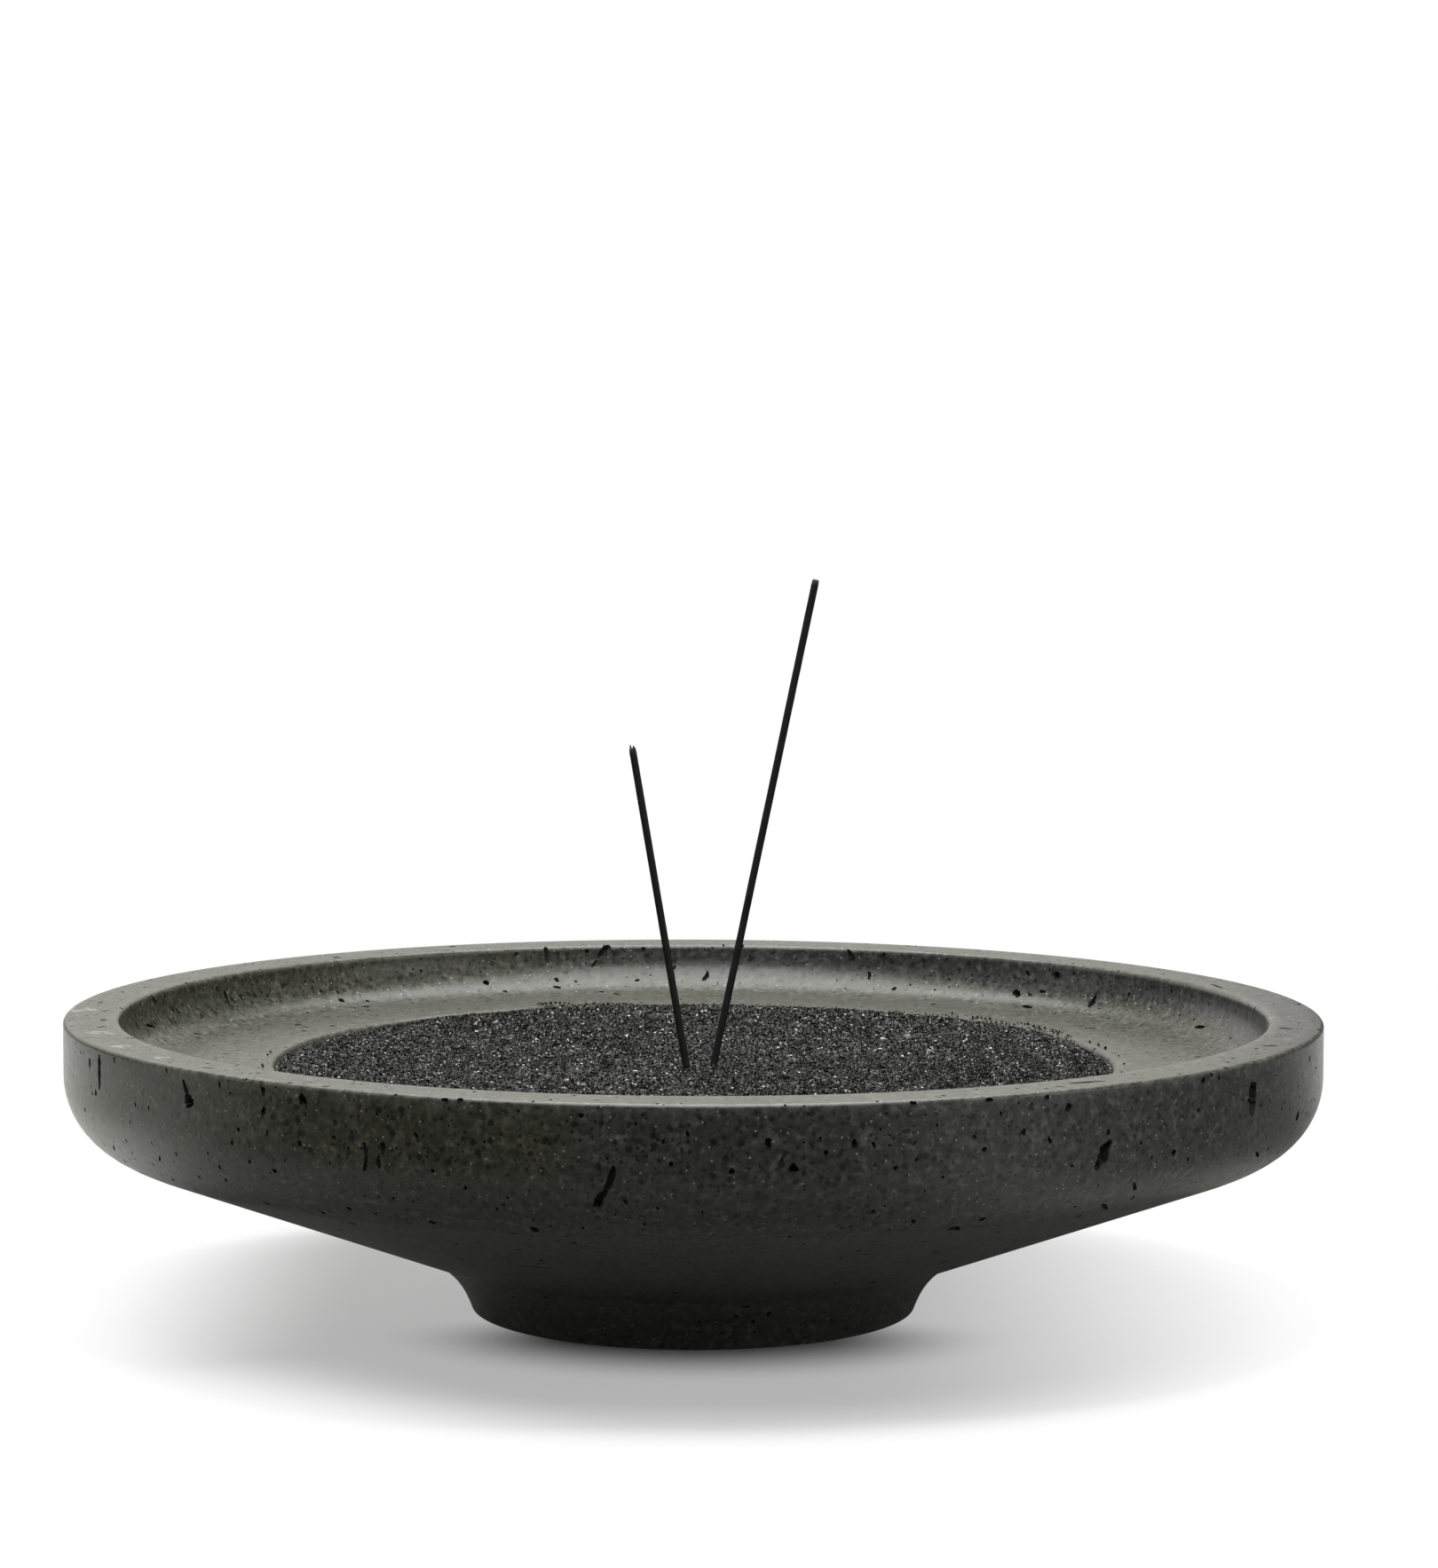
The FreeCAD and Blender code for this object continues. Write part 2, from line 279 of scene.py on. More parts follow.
def cut(piece: Piece, cutter: Surface, material_index: int = 0) -> None:
    """Take a closed surface's volume out of a piece.

    Args:
        piece: The piece to cut.
        cutter: The volume to remove.
        material_index: The piece's material that the cut faces get.
    """
    mesh = cutter.mesh("cutter", Shading.SMOOTH)
    for material in piece.data.materials:
        mesh.materials.append(material)
    mesh.polygons.foreach_set("material_index", np.full(len(mesh.polygons), material_index, np.int32))
    tool = placed("cutter", mesh)
    modifier = piece.modifiers.new("cut", "BOOLEAN")
    modifier.operation = "DIFFERENCE"
    modifier.solver = "MANIFOLD"
    modifier.object = tool
    graph = bpy.context.evaluated_depsgraph_get()
    whole, remains = piece.data, bpy.data.meshes.new_from_object(piece.evaluated_get(graph))
    piece.modifiers.clear()
    piece.data = remains
    remains.name = piece.name
    bpy.data.meshes.remove(whole)
    bpy.data.objects.remove(tool)
    bpy.data.meshes.remove(mesh)


def read(items: bpy.types.bpy_prop_collection, name: str, width: int, kind: type) -> Array:
    """Read one property of all of a mesh's vertices, face corners or faces.

    Args:
        items: The vertices, face corners or faces.
        name: The property.
        width: Numbers in it.
        kind: Type of the numbers.

    Returns:
        The values, (n, width).
    """
    values = np.empty(len(items) * width, kind)
    items.foreach_get(name, values)
    return values.reshape(-1, width)


def vertex_places(mesh: Mesh) -> Array:
    """All vertex places of a mesh, (n, 3)."""
    return read(mesh.vertices, "co", 3, np.float32).astype(float)


def add_piece(
    name: str, mesh: Mesh, materials: list[Material], body: Body, slot: Slot, *nodes: str
) -> Piece:
    """Put a mesh into the scene as a piece that rides on a body.

    Args:
        name: The piece's name.
        mesh: Its mesh, already in place.
        materials: Its materials, in the order of the mesh's material numbers.
        body: The body that carries it.
        slot: The record's slot for its finish; not used.
        nodes: The CAD nodes that it stands for.

    Returns:
        The piece.
    """
    piece = placed(name, mesh)
    for material in materials:
        mesh.materials.append(material)
    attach(piece, body.value)
    if nodes:
        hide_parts(*nodes)
    return piece


def face_corners(mesh: Mesh) -> tuple[Array, Array]:
    """The vertex number and the face number of each face corner of a mesh, (n,) each."""
    counts = read(mesh.polygons, "loop_total", 1, np.int32)[:, 0]
    return read(mesh.loops, "vertex_index", 1, np.int32)[:, 0], np.repeat(np.arange(len(counts)), counts)


def face_middles(mesh: Mesh) -> Array:
    """The middle of each face of a mesh, (n, 3)."""
    return read(mesh.polygons, "center", 3, np.float32).astype(float)


def lay_flat(mesh: Mesh, corners: Array) -> None:
    """Lay a mesh out in the unit square for baking, with a place for each face corner, (n, 2)."""
    layer = mesh.uv_layers.new(name=BAKE_MAP)
    layer.data.foreach_set("uv", np.clip(corners, 0, 1).astype(np.float32).ravel())


def paint_faces(mesh: Mesh, name: str, colours: Array) -> None:
    """Give each face a colour, (n, 3), as a named attribute."""
    layer = mesh.attributes.new(name, "FLOAT_COLOR", "FACE")
    layer.data.foreach_set("color", np.column_stack([colours, np.ones(len(colours))]).astype(np.float32).ravel())


def paint_points(mesh: Mesh, name: str, values: Array) -> None:
    """Give each vertex a number, (n,), as a named attribute."""
    layer = mesh.attributes.new(name, "FLOAT", "POINT")
    layer.data.foreach_set("value", values.astype(np.float32))


def shade(red: float, green: float, blue: float) -> Colour:
    """A colour on a screen's 0 to 255 scale, as the linear values that a shader takes."""
    screen = np.array([red, green, blue]) / 255
    return tuple(np.where(screen <= 0.04045, screen / 12.92, ((screen + 0.055) / 1.055) ** 2.4).tolist())


@dataclass(frozen=True)
class Noise:
    """Soft lumps of noise through a block.

    Attributes:
        size: About the size of a lump.
        detail: Finer layers laid over the lumps.
        roughness: How strong each finer layer is.
    """

    size: float
    detail: float = 2.0
    roughness: float = 0.5


@dataclass(frozen=True)
class Spots:
    """Round spots scattered through a block.

    Attributes:
        spacing: About how far apart the spots would lie if every cell had one.
        radius: A spot's radius.
        soft: Width of its soft edge.
        share: Share of the cells that have a spot.
    """

    spacing: float
    radius: float
    soft: float
    share: float


class Graph:
    """One material's nodes, added call by call around a single principled shader."""

    def __init__(self, name: str) -> None:
        """Start an empty material.

        Args:
            name: The material's name.
        """
        self.material = bpy.data.materials.new(name)
        self.material.use_nodes = True
        self.tree = self.material.node_tree
        self.tree.nodes.clear()
        self.shader = self.node("ShaderNodeBsdfPrincipled")
        self.output = self.node("ShaderNodeOutputMaterial", {"Surface": self.shader.outputs["BSDF"]})

    def node(self, kind: str, inputs: dict | None = None, **settings: object) -> bpy.types.Node:
        """Add a node.

        Args:
            kind: Blender's name for the node.
            inputs: Its sockets by name or number, each with a value or the socket that feeds it.
            settings: Its own properties.

        Returns:
            The node.
        """
        node = self.tree.nodes.new(kind)
        for name, value in settings.items():
            setattr(node, name, value)
        self.feed(node, inputs or {})
        return node

    def feed(self, node: bpy.types.Node, inputs: dict) -> None:
        """Set or link a node's sockets.

        Args:
            node: The node.
            inputs: Its sockets by name or number, each with a value or the socket that feeds it.
        """
        for name, value in inputs.items():
            if isinstance(value, Socket):
                self.tree.links.new(value, node.inputs[name])
            elif isinstance(value, tuple) and len(value) == 3 and node.inputs[name].type == "RGBA":
                node.inputs[name].default_value = (*value, 1.0)
            else:
                node.inputs[name].default_value = value

    def finish(self, **inputs: object) -> Material:
        """Feed the shader's sockets, each named with _ for a space, and return the material."""
        self.feed(self.shader, {name.replace("_", " "): value for name, value in inputs.items()})
        return self.material

    def place(self) -> Socket:
        """Where a point is on the object."""
        return self.node("ShaderNodeTexCoord").outputs["Object"]

    def split(self, place: Socket) -> tuple[Socket, ...]:
        """The x, y and z of a place or a direction."""
        return tuple(self.node("ShaderNodeSeparateXYZ", {0: place}).outputs)

    def vector(self, operation: str, output: str, *vectors: object) -> Socket:
        """An output of an operation on one or two vectors."""
        return self.node("ShaderNodeVectorMath", dict(enumerate(vectors)), operation=operation).outputs[output]

    def upward(self) -> Socket:
        """How far a face looks up, from -1 to 1."""
        return self.split(self.node("ShaderNodeTexCoord").outputs["Normal"])[2]

    def attribute(self, name: str, output: str) -> Socket:
        """A painted attribute's "Fac" or "Color"."""
        return self.node("ShaderNodeAttribute", attribute_name=name).outputs[output]

    def noise(self, place: Socket, noise: Noise) -> Socket:
        """Soft noise from 0 to 1 about 0.5."""
        inputs = {"Vector": place, "Scale": 1 / noise.size, "Detail": noise.detail, "Roughness": noise.roughness}
        return self.node("ShaderNodeTexNoise", inputs).outputs["Fac"]

    def spots(self, place: Socket, spots: Spots) -> Socket:
        """Spots scattered through a block.

        Args:
            place: Where a point is in the block.
            spots: The spots.

        Returns:
            1 inside a spot and 0 outside.
        """
        cells = self.node("ShaderNodeTexVoronoi", {"Vector": place, "Scale": 1 / spots.spacing})
        inner, outer = ((spots.radius + sign * spots.soft / 2) / spots.spacing for sign in (-1, 1))
        spot = self.rise(cells.outputs["Distance"], outer, inner)
        lot = self.node("ShaderNodeSeparateColor", {"Color": cells.outputs["Color"]}).outputs[0]
        return self.times(spot, self.math("LESS_THAN", lot, spots.share))

    def math(self, operation: str, first: object, second: object = 0.0) -> Socket:
        """The result of an operation on two numbers."""
        return self.node("ShaderNodeMath", {0: first, 1: second}, operation=operation).outputs[0]

    def times(self, *values: object) -> Socket:
        """The product of two or more numbers."""
        return reduce(lambda first, second: self.math("MULTIPLY", first, second), values)

    def plus(self, first: object, second: object) -> Socket:
        """The sum of two numbers."""
        return self.math("ADD", first, second)

    def minus(self, first: object, second: object) -> Socket:
        """The first number less the second."""
        return self.math("SUBTRACT", first, second)

    def rise(self, value: Socket, start: float, end: float, low: float = 0.0, high: float = 1.0) -> Socket:
        """A smooth step from low at start to high at end."""
        inputs = {"Value": value, "From Min": start, "From Max": end, "To Min": low, "To Max": high}
        return self.node("ShaderNodeMapRange", inputs, interpolation_type="SMOOTHSTEP").outputs["Result"]

    def mix(self, share: object, first: object, second: object, blend: str = "MIX") -> Socket:
        """The first colour turning into its blend with the second as the share goes from 0 to 1."""
        inputs = {0: share, 6: first, 7: second}
        return self.node("ShaderNodeMix", inputs, data_type="RGBA", blend_type=blend).outputs[2]

    def scaled(self, colour: object, value: Socket) -> Socket:
        """A colour made darker or lighter by a number about 1."""
        grey = self.node("ShaderNodeCombineColor", {0: value, 1: value, 2: value}).outputs[0]
        return self.mix(1.0, colour, grey, "MULTIPLY")

    def bump(self, height: Socket, distance: float, strength: float) -> Socket:
        """A normal bent by a height from 0 to 1 that stands for the given distance."""
        inputs = {"Height": height, "Distance": distance, "Strength": strength}
        return self.node("ShaderNodeBump", inputs).outputs["Normal"]

    def turned(self, place: Socket, squeeze: float) -> Socket:
        """A place unrolled, so that patterns run round the axis.

        Args:
            place: The place.
            squeeze: Distance that one radian of bearing stands for.

        Returns:
            The place as (radius, squeezed bearing, height).
        """
        x, y, z = self.split(place)
        flat = self.node("ShaderNodeCombineXYZ", {0: x, 1: y}).outputs[0]
        radius = self.vector("LENGTH", "Value", flat)
        bearing = self.times(self.math("ARCTAN2", y, x), squeeze)
        return self.node("ShaderNodeCombineXYZ", {0: radius, 1: bearing, 2: z}).outputs[0]


@dataclass(frozen=True)
class HonedStone:
    """Dark, fine-grained volcanic stone, turned and honed to a satin face.

    Attributes:
        olive: The greener body colour.
        grey: The more neutral body colour.
        tan: Colour of the paler patches in the greener stone.
        ashen: Colour of the paler patches in the more neutral stone.
        crystal: Colour of the dark blotches.
        fleck: Colour of the pale flecks.
        hole: Colour of the pin holes, a painted shade inside them.
        worn: Colour of rubbed edges.
        scuffed: Colour of powdery scuffs.
        gloss: Roughness of the honed face.
        index: Index of refraction.
        drift: Slow drift from the greener to the more neutral stone.
        painted_cast_right: How fast the drift grows to the right, per metre, a painted colour cast: greener on the
            left, more neutral on the right.
        painted_cast_below: Upward looks between which the drift grows downwards, and its values there, a painted
            colour cast: more neutral on faces that look down.
        painted_cast_above: Upward looks between which the drift shrinks upwards, and by how much, a painted colour
            cast: greener on faces that look up.
        patches: Paler patches.
        mottle: Fine mottling, light and dark.
        mottle_depth: The darkest and the lightest that the mottling makes the body.
        blotches: Dark blotches.
        grains: Dark grains.
        flecks: Pale flecks.
        pins: Pin holes.
        marks: Turning marks.
        marks_squeeze: Distance that a turn of one radian stands for in the turning marks.
        flakes: Flakes of a scuff.
        relief: Height that the bump stands for.
    """

    olive: Colour = shade(60, 61, 49)
    grey: Colour = shade(56, 56, 55)
    tan: Colour = shade(88, 88, 76)
    ashen: Colour = shade(86, 86, 85)
    crystal: Colour = shade(16, 16, 19)
    fleck: Colour = shade(150, 150, 140)
    hole: Colour = shade(20, 20, 19)
    worn: Colour = shade(100, 100, 93)
    scuffed: Colour = shade(140, 140, 133)
    gloss: float = 0.37
    index: float = 1.6
    drift: Noise = Noise(45 * MM)
    painted_cast_right: float = 4.5
    painted_cast_below: tuple[float, ...] = (-0.15, -0.6, 0.08, 0.8)
    painted_cast_above: tuple[float, ...] = (0.2, 0.7, 0.0, 0.8)
    patches: Noise = Noise(2.6 * MM, 5.0, 0.65)
    mottle: Noise = Noise(1.6 * MM, 6.0, 0.7)
    mottle_depth: Band = (0.42, 1.62)
    blotches: Spots = Spots(3.1 * MM, 0.8 * MM, 0.35 * MM, 0.6)
    grains: Spots = Spots(1.6 * MM, 0.46 * MM, 0.2 * MM, 0.55)
    flecks: Spots = Spots(1.7 * MM, 0.26 * MM, 0.12 * MM, 0.34)
    pins: Spots = Spots(1.9 * MM, 0.2 * MM, 0.12 * MM, 0.22)
    marks: Noise = Noise(1.1 * MM, 3.0, 0.6)
    marks_squeeze: float = 2.0 * MM
    flakes: Noise = Noise(2.4 * MM, 4.0, 0.6)
    relief: float = 0.09 * MM

    def body(self, graph: Graph, place: Socket, mottle: Socket) -> Socket:
        """Colour of the stone's mass: drifts, patches, mottling, blotches, grains and flecks, with a painted colour
        cast of the light by side and by facing.

        Args:
            graph: The material's nodes.
            place: Where a point is on the stone.
            mottle: The fine mottling there.

        Returns:
            The colour.
        """
        upward = graph.upward()
        # Painted colour cast of the light: the drift grows to the right and on faces that look down, and shrinks on
        # faces that look up
        drift = graph.plus(graph.noise(place, self.drift), graph.times(graph.split(place)[0], self.painted_cast_right))
        drift = graph.plus(drift, graph.rise(upward, *self.painted_cast_below))
        drift = graph.minus(drift, graph.rise(upward, *self.painted_cast_above))
        neutral = graph.rise(drift, 0.25, 0.65)
        body = graph.mix(neutral, self.olive, self.grey)
        patch = graph.rise(graph.noise(place, self.patches), 0.5, 0.62, 0.0, 0.7)
        body = graph.mix(patch, body, graph.mix(neutral, self.tan, self.ashen))
        body = graph.scaled(body, graph.rise(mottle, 0.28, 0.72, *self.mottle_depth))
        dark = graph.math("MAXIMUM", graph.spots(place, self.blotches), graph.spots(place, self.grains))
        body = graph.mix(graph.times(dark, 0.92), body, self.crystal)
        return graph.mix(graph.times(graph.spots(place, self.flecks), 0.85), body, self.fleck)

    def material(self) -> Material:
        """The stone's mass with pin holes darkened by painted shade, turning marks, rubbed edges and scuffs.

        Returns:
            The material.
        """
        graph = Graph("honed_stone")
        place = graph.place()
        mottle = graph.noise(place, self.mottle)
        pin = graph.spots(place, self.pins)
        # Painted shade: the pin holes are coloured dark for the shade inside them
        body = graph.mix(pin, self.body(graph, place, mottle), self.hole)
        marks = graph.noise(graph.turned(place, self.marks_squeeze), self.marks)
        body = graph.scaled(body, graph.rise(marks, 0.3, 0.7, 0.92, 1.08))
        rub = graph.times(graph.attribute("wear", "Fac"), graph.rise(mottle, 0.3, 0.62), 0.6)
        body = graph.mix(rub, body, self.worn)
        flake = graph.plus(graph.noise(place, self.flakes), graph.attribute("scuff", "Fac"))
        scuff = graph.rise(flake, 1.0, 1.1, 0.0, 0.9)
        body = graph.mix(scuff, body, self.scuffed)
        gloss = graph.rise(mottle, 0.2, 0.8, self.gloss - 0.07, self.gloss + 0.09)
        gloss = graph.plus(gloss, graph.times(graph.math("MAXIMUM", pin, scuff), 0.3))
        height = graph.plus(graph.times(mottle, 0.6), graph.times(marks, 0.4))
        normal = graph.bump(graph.minus(height, pin), self.relief, 0.6)
        return graph.finish(Base_Color=body, Roughness=gloss, Normal=normal, IOR=self.index)


@dataclass(frozen=True)
class BrokenStone:
    """The rough inside of the stone's pits, darker than the honed face partly as its own colour and partly as
    painted shade.

    Attributes:
        dark: Colour of the deep part, partly the rough stone's own and partly painted shade.
        light: Colour of its crystals.
        gloss: Roughness.
        grain: The crystals.
        relief: Height that the bump stands for.
    """

    dark: Colour = shade(26, 26, 25)
    light: Colour = shade(58, 58, 54)
    gloss: float = 0.85
    grain: Noise = Noise(0.7 * MM, 4.0, 0.65)
    relief: float = 0.2 * MM

    def material(self) -> Material:
        """Dark stone, partly painted shade, with a coarse sparkle of crystals.

        Returns:
            The material.
        """
        graph = Graph("broken_stone")
        grain = graph.noise(graph.place(), self.grain)
        body = graph.mix(graph.rise(grain, 0.45, 0.75), self.dark, self.light)
        return graph.finish(Base_Color=body, Roughness=self.gloss, Normal=graph.bump(grain, self.relief, 0.6))


@dataclass(frozen=True)
class BlackSand:
    """Glassy black sand with paler grains among it.

    Attributes:
        shares: Share of each tint among the grains.
        tints: The grains' tints.
        spread: How much lighter or darker a grain may be than its tint.
        cast: How far a grain's colour leans from its tint.
        gloss: Roughness of a grain's face.
        index: Index of refraction.
        cloud: Faint clouding inside a grain.
    """

    shares: tuple[float, ...] = (0.645, 0.212, 0.076, 0.044, 0.023)
    tints: tuple[Colour, ...] = (
        shade(7, 7, 6), shade(19, 19, 17), shade(52, 53, 49), shade(112, 112, 104), shade(184, 184, 174),
    )
    spread: float = 0.3
    cast: float = 0.06
    gloss: float = 0.33
    index: float = 1.26
    cloud: Noise = Noise(0.5 * MM)

    def colours(self, count: int, rng: Chance) -> Array:
        """Draw a colour for each of a number of grains.

        Args:
            count: How many grains.
            rng: Source of chance.

        Returns:
            The colours, (n, 3).
        """
        tint = np.array(self.tints)[rng.choice(len(self.tints), count, p=self.shares)]
        lightness = rng.uniform(1 - self.spread, 1 + self.spread, (count, 1))
        cast = 1 + rng.normal(0, self.cast, (count, 3))
        return np.clip(tint * lightness * cast, 0, 1)

    def material(self) -> Material:
        """Each grain's own colour, faintly clouded, with a glassy face.

        Returns:
            The material.
        """
        graph = Graph("black_sand")
        cloud = graph.noise(graph.place(), self.cloud)
        body = graph.scaled(graph.attribute("grain", "Color"), graph.rise(cloud, 0.3, 0.7, 0.85, 1.15))
        gloss = graph.rise(cloud, 0.3, 0.7, self.gloss - 0.08, self.gloss + 0.12)
        return graph.finish(Base_Color=body, Roughness=gloss, IOR=self.index)


@dataclass(frozen=True)
class IncensePaste:
    """Charcoal incense paste, pressed into a stick and dried.

    Attributes:
        black: Its colour.
        dusty: Colour of its finest specks.
        gloss: Roughness.
        index: Index of refraction.
        grain: Its matt grain.
        cloud: Slow change of tone along it.
        relief: Height that the bump stands for.
    """

    black: Colour = shade(30, 30, 30)
    dusty: Colour = shade(50, 50, 49)
    gloss: float = 0.72
    index: float = 1.35
    grain: Noise = Noise(0.25 * MM, 4.0, 0.7)
    cloud: Noise = Noise(4 * MM)
    relief: float = 0.05 * MM

    def material(self) -> Material:
        """Near black, with fine dust and a matt grain.

        Returns:
            The material.
        """
        graph = Graph("incense_paste")
        place = graph.place()
        grain = graph.noise(place, self.grain)
        body = graph.mix(graph.rise(grain, 0.55, 0.8), self.black, self.dusty)
        body = graph.scaled(body, graph.rise(graph.noise(place, self.cloud), 0.3, 0.7, 0.85, 1.15))
        gloss = graph.rise(grain, 0.3, 0.7, self.gloss - 0.1, self.gloss + 0.12)
        normal = graph.bump(grain, self.relief, 0.5)
        return graph.finish(Base_Color=body, Roughness=gloss, Normal=normal, IOR=self.index)


@dataclass(frozen=True)
class BurntEnd:
    """Ash and char at a stick's burnt end.

    Attributes:
        name: The material's name.
        char: Colour where it is only charred.
        ash: Colour where it has burnt to ash.
        gloss: Roughness.
        powder: Its powdery noise.
        relief: Height that the bump stands for.
    """

    name: str
    char: Colour
    ash: Colour
    gloss: float = 0.92
    powder: Noise = Noise(0.35 * MM, 4.0, 0.7)
    relief: float = 0.12 * MM

    def material(self) -> Material:
        """Char that turns to ash where the painted attribute says so, broken up by a powdery noise.

        Returns:
            The material.
        """
        graph = Graph(self.name)
        powder = graph.noise(graph.place(), self.powder)
        share = graph.plus(graph.attribute("ash", "Fac"), graph.rise(powder, 0.3, 0.7, -0.35, 0.35))
        body = graph.mix(graph.rise(share, 0.2, 0.8), self.char, self.ash)
        return graph.finish(Base_Color=body, Roughness=self.gloss, Normal=graph.bump(powder, self.relief, 0.8))


@dataclass(frozen=True)
class PhotoView:
    """The camera, set as the burner was seen.

    Attributes:
        columns: Picture width in pixels.
        rows: Picture height in pixels.
        distance: From the bowl's axis to the camera, along -Y.
        rise: Height above the table.
        pitch: Downward tilt, in degrees.
        roll: Turn about the line of sight, in degrees.
        focal: Focal length in pixels.
        middle: Pixel column that the bowl's axis falls on.
        sensor: Sensor's long side in millimetres.
    """

    columns: int = 1620
    rows: int = 1767
    distance: float = 1087.0 * MM
    rise: float = 218.7 * MM
    pitch: float = 4.4214
    roll: float = 0.23
    focal: float = 4808.0
    middle: float = 782.8
    sensor: float = 36.0

    def turn(self) -> Euler:
        """The camera's turn.

        Returns:
            The turn from looking straight down.
        """
        aside = math.atan((self.columns / 2 - self.middle) / self.focal)
        level = Euler((math.radians(90 - self.pitch), 0.0, -aside)).to_matrix()
        return (level @ Matrix.Rotation(math.radians(self.roll), 3, "Z")).to_euler()

    def build(self) -> Piece:
        """Add the camera and make it the scene's own.

        Returns:
            The camera.
        """
        data = bpy.data.cameras.new("photo_camera")
        data.sensor_width = self.sensor
        data.lens = self.focal * self.sensor / self.rows
        camera = placed("photo_camera", data)
        camera.location = (0.0, -self.distance, self.rise)
        camera.rotation_euler = self.turn()
        bpy.context.scene.camera = camera
        return camera

    def sight_lines(self, pixels: Array) -> tuple[Array, Array]:
        """Lines of sight through pixels.

        Args:
            pixels: (n, 2) columns and rows from the picture's upper left.

        Returns:
            The camera's place and the unit directions, (n, 3).
        """
        across = (pixels[:, 0] - self.columns / 2) / self.focal
        up = (self.rows / 2 - pixels[:, 1]) / self.focal
        local = np.stack([across, up, -np.ones(len(pixels))], axis=-1)
        return np.array([0.0, -self.distance, self.rise]), unit(local @ np.array(self.turn().to_matrix()).T)


@dataclass
class Hollows:
    """Pits in a surface, one row each.

    Attributes:
        place: Middle of the mouth, (n, 3).
        normal: Surface's normal there, (n, 3).
        along: Direction of the long axis in the surface, (n, 3).
        length: Half length.
        width: Half width.
        depth: Depth.
        taper: How much one end is wider, from -1 to 1.
        bend: How far the middle bows aside, as a share of the half length.
    """

    place: Array
    normal: Array
    along: Array
    length: Array
    width: Array
    depth: Array
    taper: Array
    bend: Array

    def chosen(self, rows: Array) -> "Hollows":
        """The hollows in the given rows."""
        return Hollows(**{name: values[rows] for name, values in vars(self).items()})

    def close(self, other: "Hollows", gap: float) -> Array:
        """Which hollows lie within a gap of which of the other ones, as a mask, (n, m)."""
        apart = np.linalg.norm(self.place[:, None] - other.place[None], axis=-1)
        return apart < self.length[:, None] + other.length[None] + gap

    def clear_of(self, other: "Hollows", gap: float) -> "Hollows":
        """The hollows that lie no closer than a gap to any of the other ones."""
        return self.chosen(~self.close(other, gap).any(axis=1))

    def apart(self, gap: float) -> "Hollows":
        """The hollows that lie no closer than a gap to an earlier one."""
        return self.chosen(~np.tril(self.close(self, gap), -1).any(axis=1))

    def shells(self, rows: int, columns: int, rough: float, rng: Chance) -> Surface:
        """Closed cutters, each an ellipsoid with an uneven skin.

        At the polar angle u and the turn v, with s = sin u to a blunting power, the skin lies at length cos u
        along, width s cos v (1 + taper cos u) + bend length (cos2 u - 0.5) across, and depth s sin v out, times 1
        plus a random unevenness.

        Args:
            rows: Rings along each cutter.
            columns: Points round each ring.
            rough: Size of the unevenness.
            rng: Source of chance.

        Returns:
            All the cutters as one surface.
        """
        count = len(self.place)
        u = np.pi * np.arange(1, rows + 1)[None, :, None] / (rows + 1)
        v = TURN * np.arange(columns)[None, None, :] / columns
        uneven = 1 + rough * rng.uniform(-1, 1, (count, rows, columns))
        length, width, depth, taper, bend = (
            values[:, None, None] for values in (self.length, self.width, self.depth, self.taper, self.bend)
        )
        lean = bend * length * (np.cos(u) ** 2 - 0.5)
        blunt = np.sin(u) ** 0.65
        lengthways = length * np.cos(u) * (1 + 0 * v)
        sideways = width * blunt * np.cos(v) * (1 + taper * np.cos(u)) * uneven + lean
        outwards = -depth * blunt * np.sin(v) * uneven
        across = np.cross(self.normal, self.along)
        axes = [axis[:, None, None, :] for axis in (self.along, across, self.normal)]
        skin = self.place[:, None, None, :] + sum(
            axis * reach[..., None] for axis, reach in zip(axes, (lengthways, sideways, outwards))
        )
        tip = (self.length * self.bend * 0.5)[:, None] * across
        poles = [self.place + sign * self.length[:, None] * self.along + tip for sign in (1, -1)]
        single = closed_rings(skin[0], poles[0][0], poles[1][0])
        points = np.concatenate([skin.reshape(count, -1, 3), np.stack(poles, axis=1)], axis=1)
        first = np.arange(count)[:, None, None] * points.shape[1]
        return Surface(
            points.reshape(-1, 3),
            (single.quads[None] + first).reshape(-1, 4),
            (single.triangles[None] + first).reshape(-1, 3),
        )


